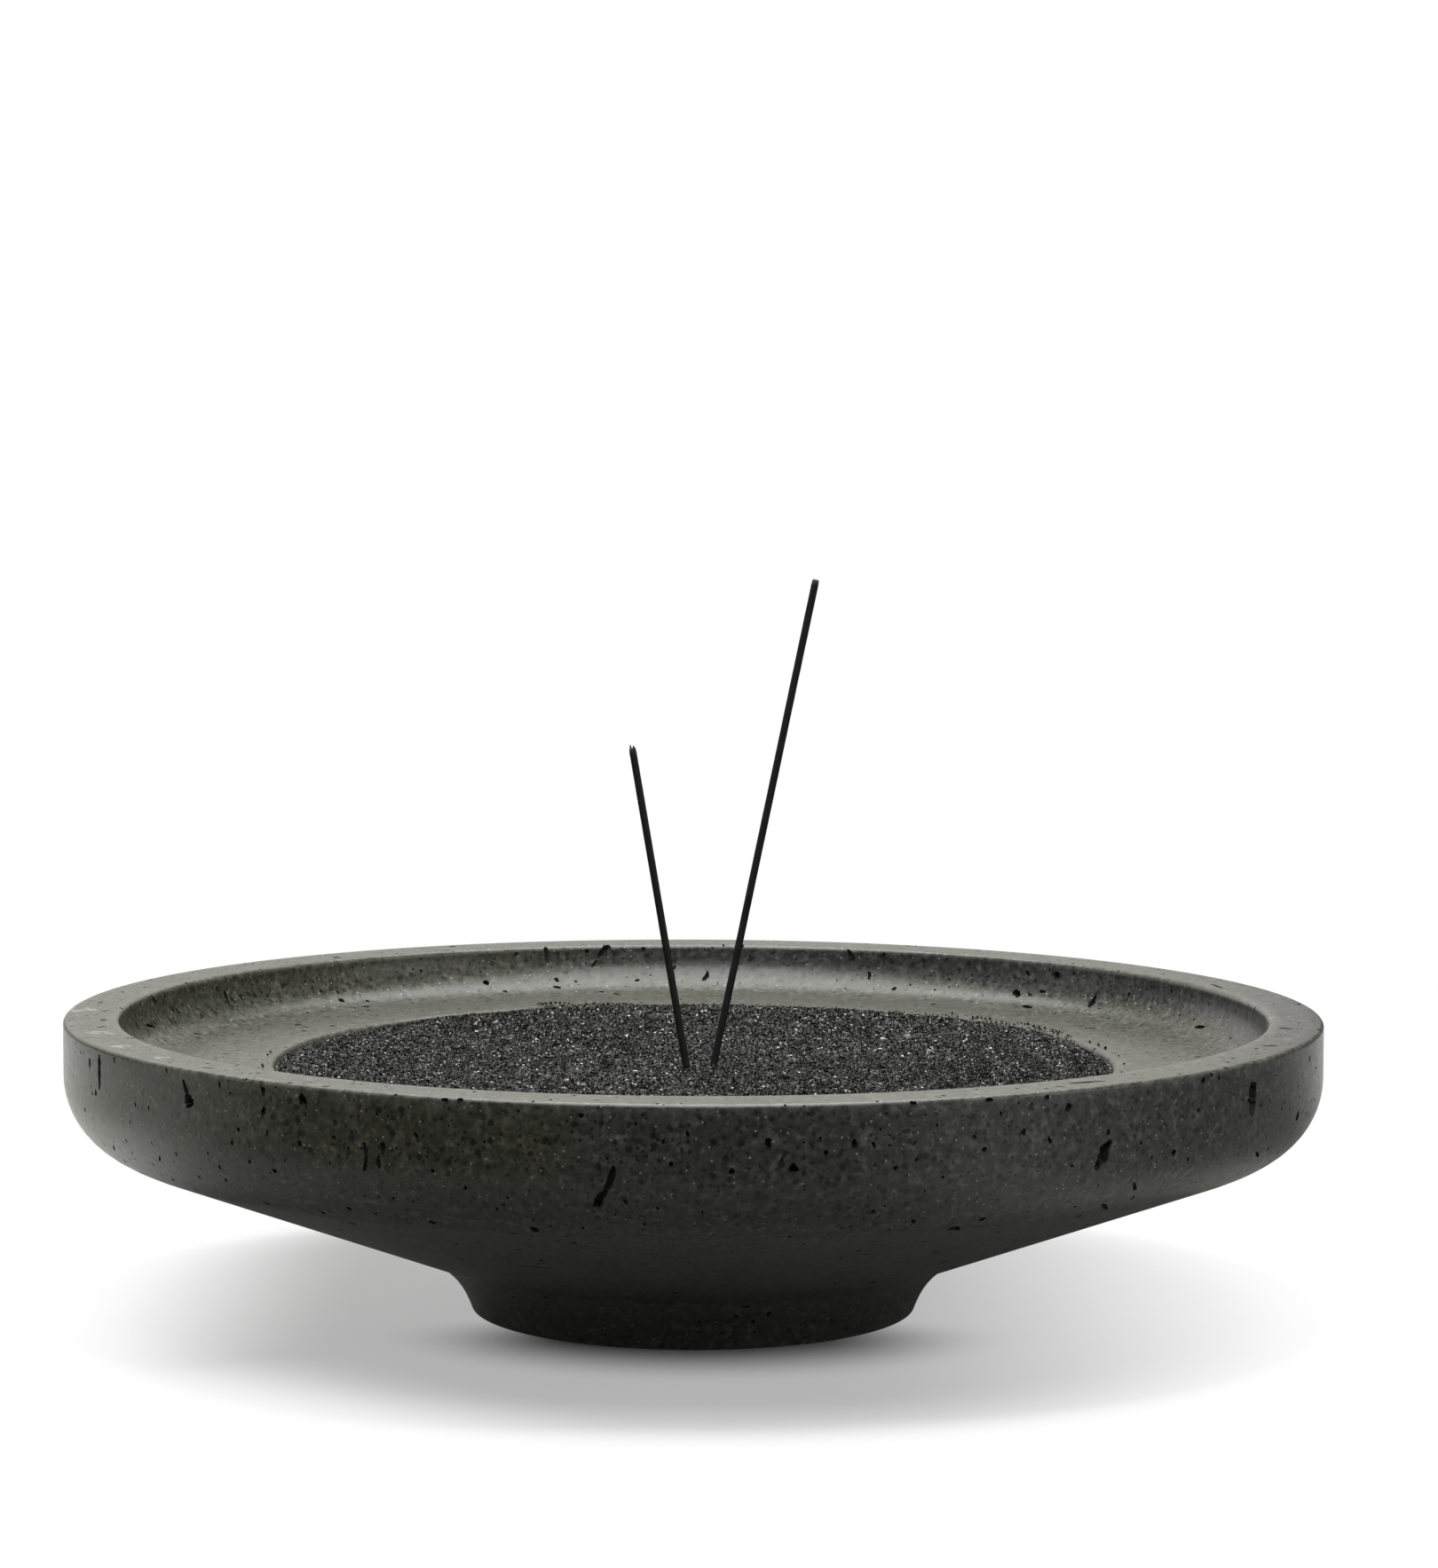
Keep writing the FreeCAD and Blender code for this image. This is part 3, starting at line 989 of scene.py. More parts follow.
# Pits and nicks seen in the stone: pixel column and row of the first end and of the second, greatest width in
# millimetres, how much wider the first end is from -1 to 1, and how far the middle bows aside as a share of the half
# length, the last two 0 where left out
FLAWS = np.array([(*row, 0.0, 0.0)[:7] for row in (
    # Upright wall, from the left
    (101, 1192, 101, 1204, 1.4), (112, 1188, 112, 1229, 2.0, 0.2), (187, 1203, 188, 1209, 0.7),
    (206, 1216, 213, 1244, 1.6, -0.3, 0.12), (210, 1232, 215, 1248, 3.0, -0.3), (247, 1219, 248, 1227, 0.7),
    (295, 1224, 297, 1235, 1.3, 0.0, 0.2), (298, 1248, 295, 1259, 1.2, 0.3), (301, 1273, 301, 1282, 0.7),
    (339, 1232, 342, 1246, 2.1, -0.3), (410, 1287, 413, 1307, 1.1, 0.2, 0.1),
    (413, 1301, 410, 1321, 1.0, 0.0, 0.1), (432, 1286, 431, 1303, 1.2, 0.3), (426, 1302, 427, 1318, 1.1, -0.3),
    (167, 1246, 168, 1251, 0.8), (128, 1291, 129, 1297, 0.8), (180, 1303, 180, 1309, 0.7),
    (198, 1298, 199, 1303, 0.6), (247, 1312, 248, 1318, 0.7), (259, 1352, 267, 1355, 0.8),
    (296, 1354, 305, 1358, 0.9), (692, 1314, 682, 1345, 1.6, -0.2, 0.12),
    (683, 1341, 671, 1361, 1.9, -0.3, -0.15), (678, 1352, 668, 1360, 1.2, 0.2), (747, 1284, 747, 1290, 0.8),
    (756, 1309, 756, 1316, 1.0), (774, 1274, 775, 1282, 0.8), (865, 1282, 866, 1297, 1.6, 0.2),
    (881, 1304, 879, 1313, 0.7, 0.0, 0.3), (924, 1280, 924, 1287, 0.7), (931, 1296, 930, 1303, 1.0),
    (962, 1283, 963, 1295, 1.2, -0.3), (983, 1287, 986, 1294, 0.9), (1127, 1252, 1128, 1259, 0.7),
    (1181, 1281, 1184, 1289, 1.1), (1249, 1272, 1248, 1280, 1.1), (1251, 1284, 1240, 1311, 3.1, -0.35, -0.1),
    (1243, 1302, 1234, 1319, 2.2, 0.2), (1277, 1333, 1279, 1341, 1.0), (1242, 1357, 1247, 1363, 1.3),
    (1412, 1219, 1410, 1246, 4.2, -0.1), (1411, 1236, 1410, 1259, 3.2, 0.4), (1415, 1298, 1418, 1303, 1.1),
    # Underside and foot
    (1070, 1384, 1081, 1386, 2.2, 0.2, 0.2), (1103, 1376, 1111, 1372, 1.4, 0.3), (1051, 1425, 1067, 1421, 1.2),
    (643, 1400, 651, 1402, 1.2, 0.0, 0.3), (851, 1407, 866, 1407, 0.7), (580, 1426, 622, 1429, 0.6, 0.0, 0.03),
    (835, 1472, 844, 1473, 1.0), (611, 1461, 618, 1463, 0.9),
    # Coved dish and its ledge
    (170, 1121, 176, 1131, 0.9), (252, 1117, 259, 1135, 1.4, 0.2, 0.1), (164, 1155, 174, 1157, 1.0),
    (218, 1164, 228, 1166, 0.9), (381, 1127, 388, 1128, 1.6), (544, 1107, 551, 1108, 1.7),
    (614, 1066, 616, 1084, 1.3, 0.3, 0.12), (625, 1102, 629, 1107, 1.2), (623, 1112, 632, 1113, 1.3),
    (691, 1119, 698, 1121, 1.4), (686, 1064, 674, 1080, 2.2, 0.5, 0.1), (672, 1082, 667, 1090, 0.9),
    (798, 1095, 792, 1106, 1.3, -0.2, 0.2), (955, 1069, 961, 1084, 1.5, -0.5, 0.1),
    (979, 1095, 979, 1104, 1.1, 0.0, 0.2), (996, 1073, 995, 1081, 0.9), (1142, 1117, 1149, 1123, 2.2),
    (1152, 1133, 1162, 1136, 1.9), (1156, 1094, 1160, 1100, 1.0), (1171, 1117, 1178, 1118, 1.0),
    (1227, 1136, 1235, 1123, 2.0, 0.2, 0.15), (1221, 1159, 1235, 1159, 1.6), (1346, 1157, 1357, 1158, 1.3),
    (1345, 1191, 1353, 1191, 1.2), (1365, 1109, 1378, 1114, 1.0),
    # Rim
    (112, 1139, 124, 1139, 0.9), (109, 1158, 121, 1156, 0.8), (140, 1170, 152, 1170, 0.9),
    (228, 1203, 240, 1204, 1.0), (1422, 1179, 1440, 1178, 1.3), (1440, 1158, 1456, 1160, 1.5),
    (1204, 1221, 1246, 1218, 1.6, 0.2), (497, 1239, 505, 1240, 1.0), (515, 1239, 522, 1240, 1.1),
    (1025, 1243, 1033, 1243, 1.0), (1110, 1240, 1119, 1239, 1.1), (323, 1220, 330, 1221, 1.0),
)])
# Powdery scuffs on the rim: pixel column, pixel row, and reach in millimetres
SCUFFS = (
    (94, 1138, 7.0), (103, 1164, 6.0), (119, 1164, 5.0), (135, 1179, 6.0), (180, 1192, 4.0), (1428, 1150, 3.0),
)
# Samples along a line of sight and along the bowl's outline, when a place on the stone is looked up
SIGHT_STEPS = 6000
OUTLINE_STEPS = 4000


@dataclass
class StoneBowl:
    """The turned bowl: foot, sloping underside, upright wall, rim, coved dish, ledge and sand well.

    Attributes:
        radius: To the outside of the upright wall.
        height: Table to rim.
        wall: Rim down to where the wall's line meets the underside's.
        belly: Round between the wall and the underside.
        foot: Radius of the face on the table.
        foot_height: Table to where the foot's line meets the underside's.
        foot_lean: Foot's side from the vertical, in degrees.
        flare: Hollow between the foot and the underside.
        foot_edge: Eased edge at the table.
        rim: Width of the flat rim.
        rim_outer: Eased outer edge of the rim.
        rim_inner: Eased inner edge of the rim.
        dish: Rim down to the ledge.
        cove: Hollow between the dish's side and the ledge.
        mouth: Radius of the sand well.
        well: Ledge down to the well's floor.
        mouth_edge: Eased edge of the well.
        well_floor: Hollow round the well's floor.
        columns: Steps round the axis.
        run_steps: Longest step along each straight run of the outline, in millimetres.
        arc_step: Longest step along an arc of the outline.
        sharp: Angle between faces from which their edge is sharp, in degrees.
        flaw_reach: Greatest half length of a flaw.
        flaw_depth: A flaw's depth as a multiple of its half width.
        flaw_depths: Least and greatest depth of a flaw.
        flaw_skin: Rings, points round a ring and unevenness of a flaw.
        flaw_gap: Least gap between a flaw and a small pit.
        small_pits: Small pits scattered over the stone.
        pit_length: Usual half length of a small pit, in millimetres.
        pit_spread: Spread of the half lengths, as a logarithm.
        pit_lengths: Least and greatest half length, in millimetres.
        pit_skin: Rings, points round a ring and unevenness of a small pit.
        pit_gap: Least gap between small pits.
        pit_low: Share of the pits' density that is left below the wall.
        wear_width: Distance over which the rubbing along an edge fades.
        wear_full: Multiple of that distance from the edge at which it has faded.
        scuff_depth: Strength of a scuff at its middle.
        scuff_full: Multiple of a scuff's reach at which it has faded.
        seed: Seed of the scatter.
    """

    radius: float = 160 * MM
    height: float = 76.5 * MM
    wall: float = 27.5 * MM
    belly: float = 20 * MM
    foot: float = 56.75 * MM
    foot_height: float = 11.6 * MM
    foot_lean: float = 22.0
    flare: float = 22 * MM
    foot_edge: float = 0.8 * MM
    rim: float = 14 * MM
    rim_outer: float = 1.0 * MM
    rim_inner: float = 1.4 * MM
    dish: float = 12.6 * MM
    cove: float = 10.8 * MM
    mouth: float = 107 * MM
    well: float = 24 * MM
    mouth_edge: float = 1.8 * MM
    well_floor: float = 9 * MM
    columns: int = 300
    run_steps: tuple[float, ...] = (30, 3, 4, 3, 3, 3, 3.5, 12, 40)
    arc_step: float = 2.4 * MM
    sharp: float = 35.0
    flaw_reach: float = 7 * MM
    flaw_depth: float = 1.6
    flaw_depths: Band = (0.5 * MM, 2.2 * MM)
    flaw_skin: tuple[int, int, float] = (9, 12, 0.3)
    flaw_gap: float = 0.6 * MM
    small_pits: int = 2500
    pit_length: float = 0.4
    pit_spread: float = 0.48
    pit_lengths: Band = (0.2, 1.4)
    pit_skin: tuple[int, int, float] = (3, 7, 0.18)
    pit_gap: float = 0.3 * MM
    pit_low: float = 0.5
    wear_width: float = 1.2 * MM
    wear_full: float = 1.6
    scuff_depth: float = 0.55
    scuff_full: float = 1.5
    seed: int = 11

    @property
    def ledge(self) -> float:
        """Height of the ledge above the table."""
        return self.height - self.dish

    def outline(self) -> Array:
        """The turned half profile.

        Returns:
            Radius and height, (n, 2), from the axis under the foot round to the axis on the well's floor.
        """
        neck = self.foot + self.foot_height * math.tan(math.radians(self.foot_lean))
        inside, floor = self.radius - self.rim, self.ledge - self.well
        corners = np.array([
            (0.0, 0.0), (self.foot, 0.0), (neck, self.foot_height), (self.radius, self.height - self.wall),
            (self.radius, self.height), (inside, self.height), (inside, self.ledge), (self.mouth, self.ledge),
            (self.mouth, floor), (0.0, floor),
        ])
        radii = np.array([
            self.foot_edge, self.flare, self.belly, self.rim_outer, self.rim_inner, self.cove, self.mouth_edge,
            self.well_floor,
        ])
        return rounded_outline(corners, radii, np.array(self.run_steps) * MM, self.arc_step)

    def along(self, run: Array) -> tuple[Array, ...]:
        """Radius and height at distances along the outline, (n,) each."""
        outline = self.outline()
        return tuple(np.interp(run, run_lengths(outline), side) for side in outline.T)

    def fine_outline(self) -> tuple[Array, Array, Array]:
        """Finely spaced distances along the outline, and the radius and the height at each, (n,) each."""
        fine = np.linspace(0, run_lengths(self.outline())[-1], OUTLINE_STEPS)
        return fine, *self.along(fine)

    def in_well(self, radius: Array, height: Array, margin: float = 0.0) -> Array:
        """Which points of the outline lie in the sand well or within a margin of its mouth, as a mask."""
        return (radius < self.mouth + margin) & (height > 2 * self.foot_height)

    def surface_at(self, run: Array, bearing: Array) -> tuple[Array, Array, Array]:
        """Places on the skin.

        Args:
            run: Distance along the outline from its start, (n,).
            bearing: Angle from +X, (n,).

        Returns:
            The places, the outward normals and the directions up the outline, each (n, 3).
        """
        outline = self.outline()
        steps = np.diff(outline, axis=0)
        radius, height = self.along(run)
        step = np.searchsorted(run_lengths(outline), run) - 1
        slope = unit(steps)[np.clip(step, 0, len(steps) - 1)]
        out = polar(1.0, bearing, 0.0)
        up = np.array([0.0, 0.0, 1.0])
        place = radius[:, None] * out + height[:, None] * up
        normal = slope[:, 1:] * out - slope[:, :1] * up
        return place, normal, slope[:, :1] * out + slope[:, 1:] * up

    def seen_at(self, view: PhotoView, pixels: Array) -> tuple[Array, Array]:
        """Where lines of sight through pixels first meet the stone.

        Args:
            view: The camera.
            pixels: (n, 2) pixels that show the stone.

        Returns:
            The places and the outward normals, each (n, 3).
        """
        outline = self.outline()
        # The highest of the widest points parts the outline into its under and its upper side
        widest = int(np.argmax(outline[:, 0] + outline[:, 1] * 1e-3))
        under, over = outline[: widest + 1], outline[widest:][::-1]
        eye, sight = view.sight_lines(pixels)
        reach = 1.2 * self.radius
        far = np.linspace(view.distance - reach, view.distance + reach, SIGHT_STEPS)
        path = eye + sight[:, None] * far[None, :, None]
        radius, height = np.hypot(path[..., 0], path[..., 1]), path[..., 2]
        within = (radius < self.radius) & (height > np.interp(radius, under[:, 0], under[:, 1]))
        within &= height < np.interp(radius, over[:, 0], over[:, 1])
        hit = np.argmax(within, axis=1)
        rows = np.arange(len(pixels))
        spot = np.stack([radius[rows, hit], height[rows, hit]], axis=-1)
        fine, *dense = self.fine_outline()
        nearest = np.argmin(np.linalg.norm(spot[:, None] - np.stack(dense, axis=-1), axis=-1), axis=1)
        met = path[rows, hit]
        place, normal, _ = self.surface_at(fine[nearest], np.arctan2(met[:, 1], met[:, 0]))
        return place, normal

    def seen_flaws(self, view: PhotoView) -> Hollows:
        """The hollows of the flaws that the picture shows, laid on the stone by sight.

        Args:
            view: The camera that they were seen by.

        Returns:
            The hollows.
        """
        first, last = FLAWS[:, :2], FLAWS[:, 2:4]
        width, taper, bend = FLAWS[:, 4:].T
        width = width * MM / 2
        middle, normal = self.seen_at(view, (first + last) / 2)
        span = self.seen_at(view, first)[0] - self.seen_at(view, last)[0]
        span -= (span * normal).sum(axis=1, keepdims=True) * normal
        length = np.clip(np.linalg.norm(span, axis=1) / 2, width, self.flaw_reach)
        depth = np.clip(self.flaw_depth * width, *self.flaw_depths)
        return Hollows(middle, normal, unit(span), length, width, depth, taper, bend)

    def scattered_pits(self, rng: Chance) -> Hollows:
        """Small pits over all the stone that shows, scattered by area, half as densely low down.

        Args:
            rng: Source of chance.

        Returns:
            The pits.
        """
        fine, radius, height = self.fine_outline()
        shown = (height > 1.5 * MM) & ~self.in_well(radius, height, 0.2 * MM)
        upper = height > self.height - self.wall - 4 * MM
        density = radius * shown * np.where(upper, 1.0, self.pit_low)
        count = self.small_pits
        run = rng.choice(fine, count, p=density / density.sum())
        bearing = rng.uniform(0, TURN, count)
        place, normal, rising = self.surface_at(run, bearing)
        swing = rng.normal(0, 0.5, count)[:, None]
        flat = np.abs(normal[:, 2:]) > 0.7
        swing = np.where(flat, rng.uniform(0, np.pi, count)[:, None], swing)
        along = np.cos(swing) * rising + np.sin(swing) * np.cross(normal, rising)
        length = rng.lognormal(math.log(self.pit_length), self.pit_spread, count)
        length = np.clip(length, *self.pit_lengths) * MM
        width = length * rng.uniform(0.35, 0.95, count)
        depth = width * rng.uniform(0.9, 1.6, count)
        taper, bend = rng.uniform(-0.6, 0.6, count), rng.uniform(-0.3, 0.3, count)
        return Hollows(place, normal, along, length, width, depth, taper, bend)

    def build(self, view: PhotoView) -> Piece:
        """Turn the bowl and cut its pits.

        Args:
            view: The camera that the flaws were seen by.

        Returns:
            The bowl.
        """
        rng = np.random.default_rng(self.seed)
        mesh = revolved(self.outline(), self.columns).mesh("turned_bowl", Shading.SMOOTH)
        finishes = [HonedStone().material(), BrokenStone().material()]
        bowl = add_piece("turned_bowl", mesh, finishes, Body.BOWL, Slot.STONE, "stone_bowl")
        flaws = self.seen_flaws(view)
        pits = self.scattered_pits(rng).clear_of(flaws, self.flaw_gap).apart(self.pit_gap)
        # Neighbours in the list may overlap, so each cut takes every other flaw
        for start in range(2):
            cut(bowl, flaws.chosen(np.arange(start, len(FLAWS), 2)).shells(*self.flaw_skin, rng), 1)
        cut(bowl, pits.shells(*self.pit_skin, rng), 1)
        bowl.data.shade_smooth()
        bowl.data.set_sharp_from_angle(angle=math.radians(self.sharp))
        self.weather(bowl.data, view)
        self.flatten(bowl.data)
        return bowl

    def flatten(self, mesh: Mesh) -> None:
        """Lay the skin out for baking.

        Bearing runs across, in two half turns one above the other, and distance along the outline runs up, squeezed
        where the foot's face and the sand hide the stone.

        Args:
            mesh: The bowl's mesh.
        """
        outline = self.outline()
        steps = np.diff(outline, axis=0)
        lengths = np.linalg.norm(steps, axis=1)
        hidden = (outline[1:, 0] < self.foot - 2 * MM) | self.in_well(*outline[1:].T)
        squeeze, parts, margin = 0.12, 24, 0.01
        up = np.concatenate([[0], np.cumsum(lengths * np.where(hidden, squeeze, 1.0))])
        places = vertex_places(mesh)
        spots = np.stack([np.hypot(places[:, 0], places[:, 1]), places[:, 2]], axis=-1)
        rows = []
        for part in np.array_split(spots, parts):
            share = ((part[:, None] - outline[None, :-1]) * steps).sum(axis=-1) / lengths**2
            share = np.clip(share, 0, 1)
            gap = np.linalg.norm(part[:, None] - outline[None, :-1] - share[..., None] * steps, axis=-1)
            nearest = np.argmin(gap, axis=1)
            picked = share[np.arange(len(part)), nearest]
            rows.append(up[nearest] + picked * (up[nearest + 1] - up[nearest]))
        height = np.concatenate(rows) / up[-1]
        corners, faces = face_corners(mesh)
        middles = face_middles(mesh)
        middle = (np.arctan2(middles[:, 1], middles[:, 0]) % TURN)[faces]
        bearing = np.arctan2(places[corners, 1], places[corners, 0])
        aside = (bearing - middle + math.pi) % TURN - math.pi
        aside = np.where(spots[corners, 0] < 0.1 * MM, 0.0, aside)
        half = np.floor(middle / math.pi)
        across = (middle - half * math.pi + aside) / math.pi * (1 - margin) + margin / 2
        lay_flat(mesh, np.stack([across, (half + margin + (1 - 2 * margin) * height[corners]) / 2], axis=-1))

    def weather(self, mesh: Mesh, view: PhotoView) -> None:
        """Paint where edges are rubbed and where the rim is scuffed.

        Args:
            mesh: The bowl's mesh.
            view: The camera that the scuffs were seen by.
        """
        places = vertex_places(mesh)
        spot = np.stack([np.hypot(places[:, 0], places[:, 1]), places[:, 2]], axis=-1)
        rim = [(radius, self.height) for radius in (self.radius, self.radius - self.rim)]
        edges = np.array([*rim, (self.mouth, self.ledge)])
        nearest = np.linalg.norm(spot[:, None] - edges[None], axis=-1).min(axis=1)
        paint_points(mesh, "wear", np.clip(self.wear_full - nearest / self.wear_width, 0, 1))
        marks = np.array(SCUFFS, float)
        middles, _ = self.seen_at(view, marks[:, :2])
        away = np.linalg.norm(places[:, None] - middles[None], axis=-1) / (marks[:, 2] * MM)
        paint_points(mesh, "scuff", self.scuff_depth * np.clip(self.scuff_full - away, 0, 1).max(axis=1))


def crystal_grains(middles: Array, sizes: Array, rng: Chance) -> Surface:
    """Angular grains, each an octahedron stretched, turned and knocked out of true at random.

    Args:
        middles: Where the grains are, (n, 3).
        sizes: Their radii, (n,).
        rng: Source of chance.

    Returns:
        All the grains as one surface, eight faces to a grain.
    """
    count = len(middles)
    tips = np.array([(1, 0, 0), (-1, 0, 0), (0, 1, 0), (0, -1, 0), (0, 0, 1), (0, 0, -1)], float)
    faces = np.array([(4, 0, 2), (4, 2, 1), (4, 1, 3), (4, 3, 0), (5, 2, 0), (5, 1, 2), (5, 3, 1), (5, 0, 3)])
    shape = tips[None] * rng.uniform(0.65, 1.25, (count, 6, 1)) + rng.normal(0, 0.12, (count, 6, 3))
    w, x, y, z = unit(rng.normal(size=(count, 4))).T
    turn = np.stack([
        1 - 2 * (y * y + z * z), 2 * (x * y - z * w), 2 * (x * z + y * w),
        2 * (x * y + z * w), 1 - 2 * (x * x + z * z), 2 * (y * z - x * w),
        2 * (x * z - y * w), 2 * (y * z + x * w), 1 - 2 * (x * x + y * y),
    ], axis=-1).reshape(count, 3, 3)
    points = middles[:, None] + sizes[:, None, None] * np.einsum("nij,nkj->nki", turn, shape)
    triangles = faces[None] + 6 * np.arange(count)[:, None, None]
    return Surface(points.reshape(-1, 3), triangles=triangles.reshape(-1, 3))


def flatten_grains(mesh: Mesh) -> None:
    """Lay grains out for baking, each in a cell of its own in a square grid.

    Args:
        mesh: The grains' mesh.
    """
    faces = np.arange(len(mesh.polygons)).repeat(3)
    grain = faces // GRAIN_FACES
    side = math.ceil(math.sqrt(len(mesh.polygons) / GRAIN_FACES))
    cell = np.stack([grain % side, grain // side], axis=-1)
    within = np.tile([(0.2, 0.2), (0.8, 0.2), (0.5, 0.8)], (len(mesh.polygons), 1))
    lay_flat(mesh, (cell + within) / side)


# Stretches of the well's edge that sand has spilt over: bearings from +X in degrees, reach out from the edge, grains
OVERSPILLS = ((99.0, 113.0, 5.0 * MM, 110), (20.0, 62.0, 4.0 * MM, 70), (62.0, 99.0, 1.2 * MM, 50))
# Grains spilt on the ledge, in groups: bearing of the first from +X in degrees, spacing along the mouth, count,
# and distance out from the mouth's edge, with both lengths in grain widths
SPILT_GROUPS = (
    (176.0, 5.0, 2, 0.9), (187.8, 3.5, 2, 1.4), (108.0, 1.3, 8, 5.6), (109.0, 1.5, 5, 7.1),
    (104.4, 2.6, 2, 4.0), (51.0, 1.0, 1, 5.0), (43.5, 1.5, 5, 3.2), (36.0, 1.4, 4, 3.6),
    (31.8, 2.4, 3, 2.8), (27.0, 1.6, 4, 2.2), (10.8, 6.0, 3, 0.8), (340.1, 15.0, 4, 1.2),
)


@dataclass(frozen=True)
class Bank:
    """A stretch of sand along the well's side that lies above or below the sand's level.

    Attributes:
        rise: Its height above the level, at the side.
        width: Distance in from the side over which it levels out.
        bearing: Bearing of its middle, in degrees.
        spread: Half the angle that it covers, in degrees.
    """

    rise: float
    width: float
    bearing: float
    spread: float


@dataclass
class SandBed:
    """The raked bed of sand in the bowl's well, its surface grains and the grains spilt on the ledge.

    Attributes:
        bowl: The bowl that holds it.
        finish: The sand's finish.
        clearance: Sand to the well's side.
        drop: Sand's level below the ledge.
        ring_start: Radius of the smooth middle.
        ring_end: Radius where the outermost ring ends.
        ring_pitch: Crest to crest.
        ring_height: Trough to crest.
        bank: Where the sand is banked up at the back.
        bank_over: How far the bank's top reaches out over the well's rounded edge.
        slide: Where the sand has slid from the well's side beyond the bank.
        cells: Cells across the grid of its top.
        tumble: How unevenly the grains of the top lie.
        clumps: Waves that make up the clumps of lighter and darker grains.
        clump_lengths: The shortest and the longest of them, in millimetres.
        tones: How light the grains are, how much lighter on a crest as painted light, and how much lighter in a
            clump.
        tone_limits: The least and the greatest lightness.
        bed_tone: Lightness of the bed under its surface grains.
        slide_painted_shadow: How much darker the grains are where the sand has slid, a painted shadow of the well's
            side.
        loose: Surface grains in each of the sheets laid over the top.
        loose_sizes: Their mean radius, its spread, and the least and the greatest, in millimetres.
        side_gap: Surface grains to the sand's edge.
        stick_gap: Surface grains to a stick.
        sheets: Sheets of surface grains.
        over_size: Radius of a grain spilt over the well's edge.
        over_tone: Lightness of those grains.
        grain: Width of a spilt grain.
        seed: Seed of the grains.
        rng: Source of chance.
        material: The sand's material.
    """

    bowl: StoneBowl
    finish: BlackSand = BlackSand()
    clearance: float = 0.2 * MM
    drop: float = 1.3 * MM
    ring_start: float = 20 * MM
    ring_end: float = 99.2 * MM
    ring_pitch: float = 13.2 * MM
    ring_height: float = 1.0 * MM
    bank: Bank = Bank(1.4 * MM, 9 * MM, 80.0, 72.0)
    bank_over: float = 0.7 * MM
    slide: Bank = Bank(-0.3 * MM, 5 * MM, 131.0, 17.0)
    cells: int = 280
    tumble: float = 0.16 * MM
    clumps: int = 48
    clump_lengths: Band = (2, 9)
    tones: tuple[float, float, float] = (0.95, 0.45, 0.38)
    tone_limits: Band = (0.15, 2.4)
    bed_tone: float = 0.8
    slide_painted_shadow: float = 0.9
    loose: int = 23000
    loose_sizes: tuple[float, ...] = (0.3, 0.06, 0.16, 0.45)
    side_gap: float = 0.5 * MM
    stick_gap: float = 0.8 * MM
    sheets: int = 2
    over_size: float = 0.27 * MM
    over_tone: float = 0.7
    grain: float = 1.0 * MM
    seed: int = 5
    rng: Chance = field(init=False)
    material: Material = field(init=False)

    def __post_init__(self) -> None:
        """Start the source of chance and make the sand's material."""
        self.rng = np.random.default_rng(self.seed)
        self.material = self.finish.material()

    @property
    def level(self) -> float:
        """Height of the sand's mean level above the table."""
        return self.bowl.ledge - self.drop

    @property
    def side(self) -> float:
        """Radius of the sand."""
        return self.bowl.mouth - self.clearance

    def top(self, x: Array, y: Array) -> Array:
        """Height of the raked top: level + half the ring height times the rings + the rises of bank and slide."""
        rings = 0.5 * self.ring_height * self.wave(x, y)
        return sum((bank.rise * self.share(bank, x, y) for bank in (self.bank, self.slide)), self.level + rings)

    def wave(self, x: Array, y: Array) -> Array:
        """The rings, a sine of the radius: -1 in a trough, 1 on a crest and 0 where there are none."""
        inward = self.ring_end - np.hypot(x, y)
        return ((inward > 0) & (inward < self.ring_end - self.ring_start)) * np.sin(TURN * inward / self.ring_pitch)

    def tone_and_painted_light(self, x: Array, y: Array) -> Array:
        """How light the grains are: lighter and darker in clumps, with painted light on the rings' crests, painted
        shade in their troughs and a painted shadow where the sand has slid.

        Args:
            x: How far right the places on the sand are.
            y: How far back they are.

        Returns:
            The lightness at each place, about 1.
        """
        rng = np.random.default_rng(self.seed + 1)
        way = rng.uniform(0, TURN, self.clumps)
        length = rng.uniform(*self.clump_lengths, self.clumps) * MM
        start = rng.uniform(0, TURN, self.clumps)
        across = x[:, None] * np.cos(way) + y[:, None] * np.sin(way)
        patchy = np.sin(TURN * across / length + start).sum(axis=1) / self.clumps**0.5
        mean, crest, clump = self.tones
        # Painted light and shade: grains lighter on the rings' crests and darker in their troughs
        tone = np.clip(mean + crest * self.wave(x, y) + clump * patchy, *self.tone_limits)
        # Painted shadow of the well's side where the sand has slid away from it
        return tone * (1 - self.slide_painted_shadow * self.share(self.slide, x, y))

    def share(self, bank: Bank, x: Array, y: Array) -> Array:
        """Share of a bank's rise: 1 at the well's side in its middle, falling off as a cosine along and inwards.

        Args:
            bank: The bank.
            x: How far right the places on the sand are.
            y: How far back they are.

        Returns:
            The share at each place.
        """
        turn = np.degrees(np.arctan2(y, x)) - bank.bearing
        around = np.clip((1 - np.abs(turn) / bank.spread) * 3, 0, 1)
        inwards = np.clip(1 - (self.side - np.hypot(x, y)) / bank.width, 0, 1)
        return 0.25 * (1 - np.cos(np.pi * around)) * (1 - np.cos(np.pi * inwards))

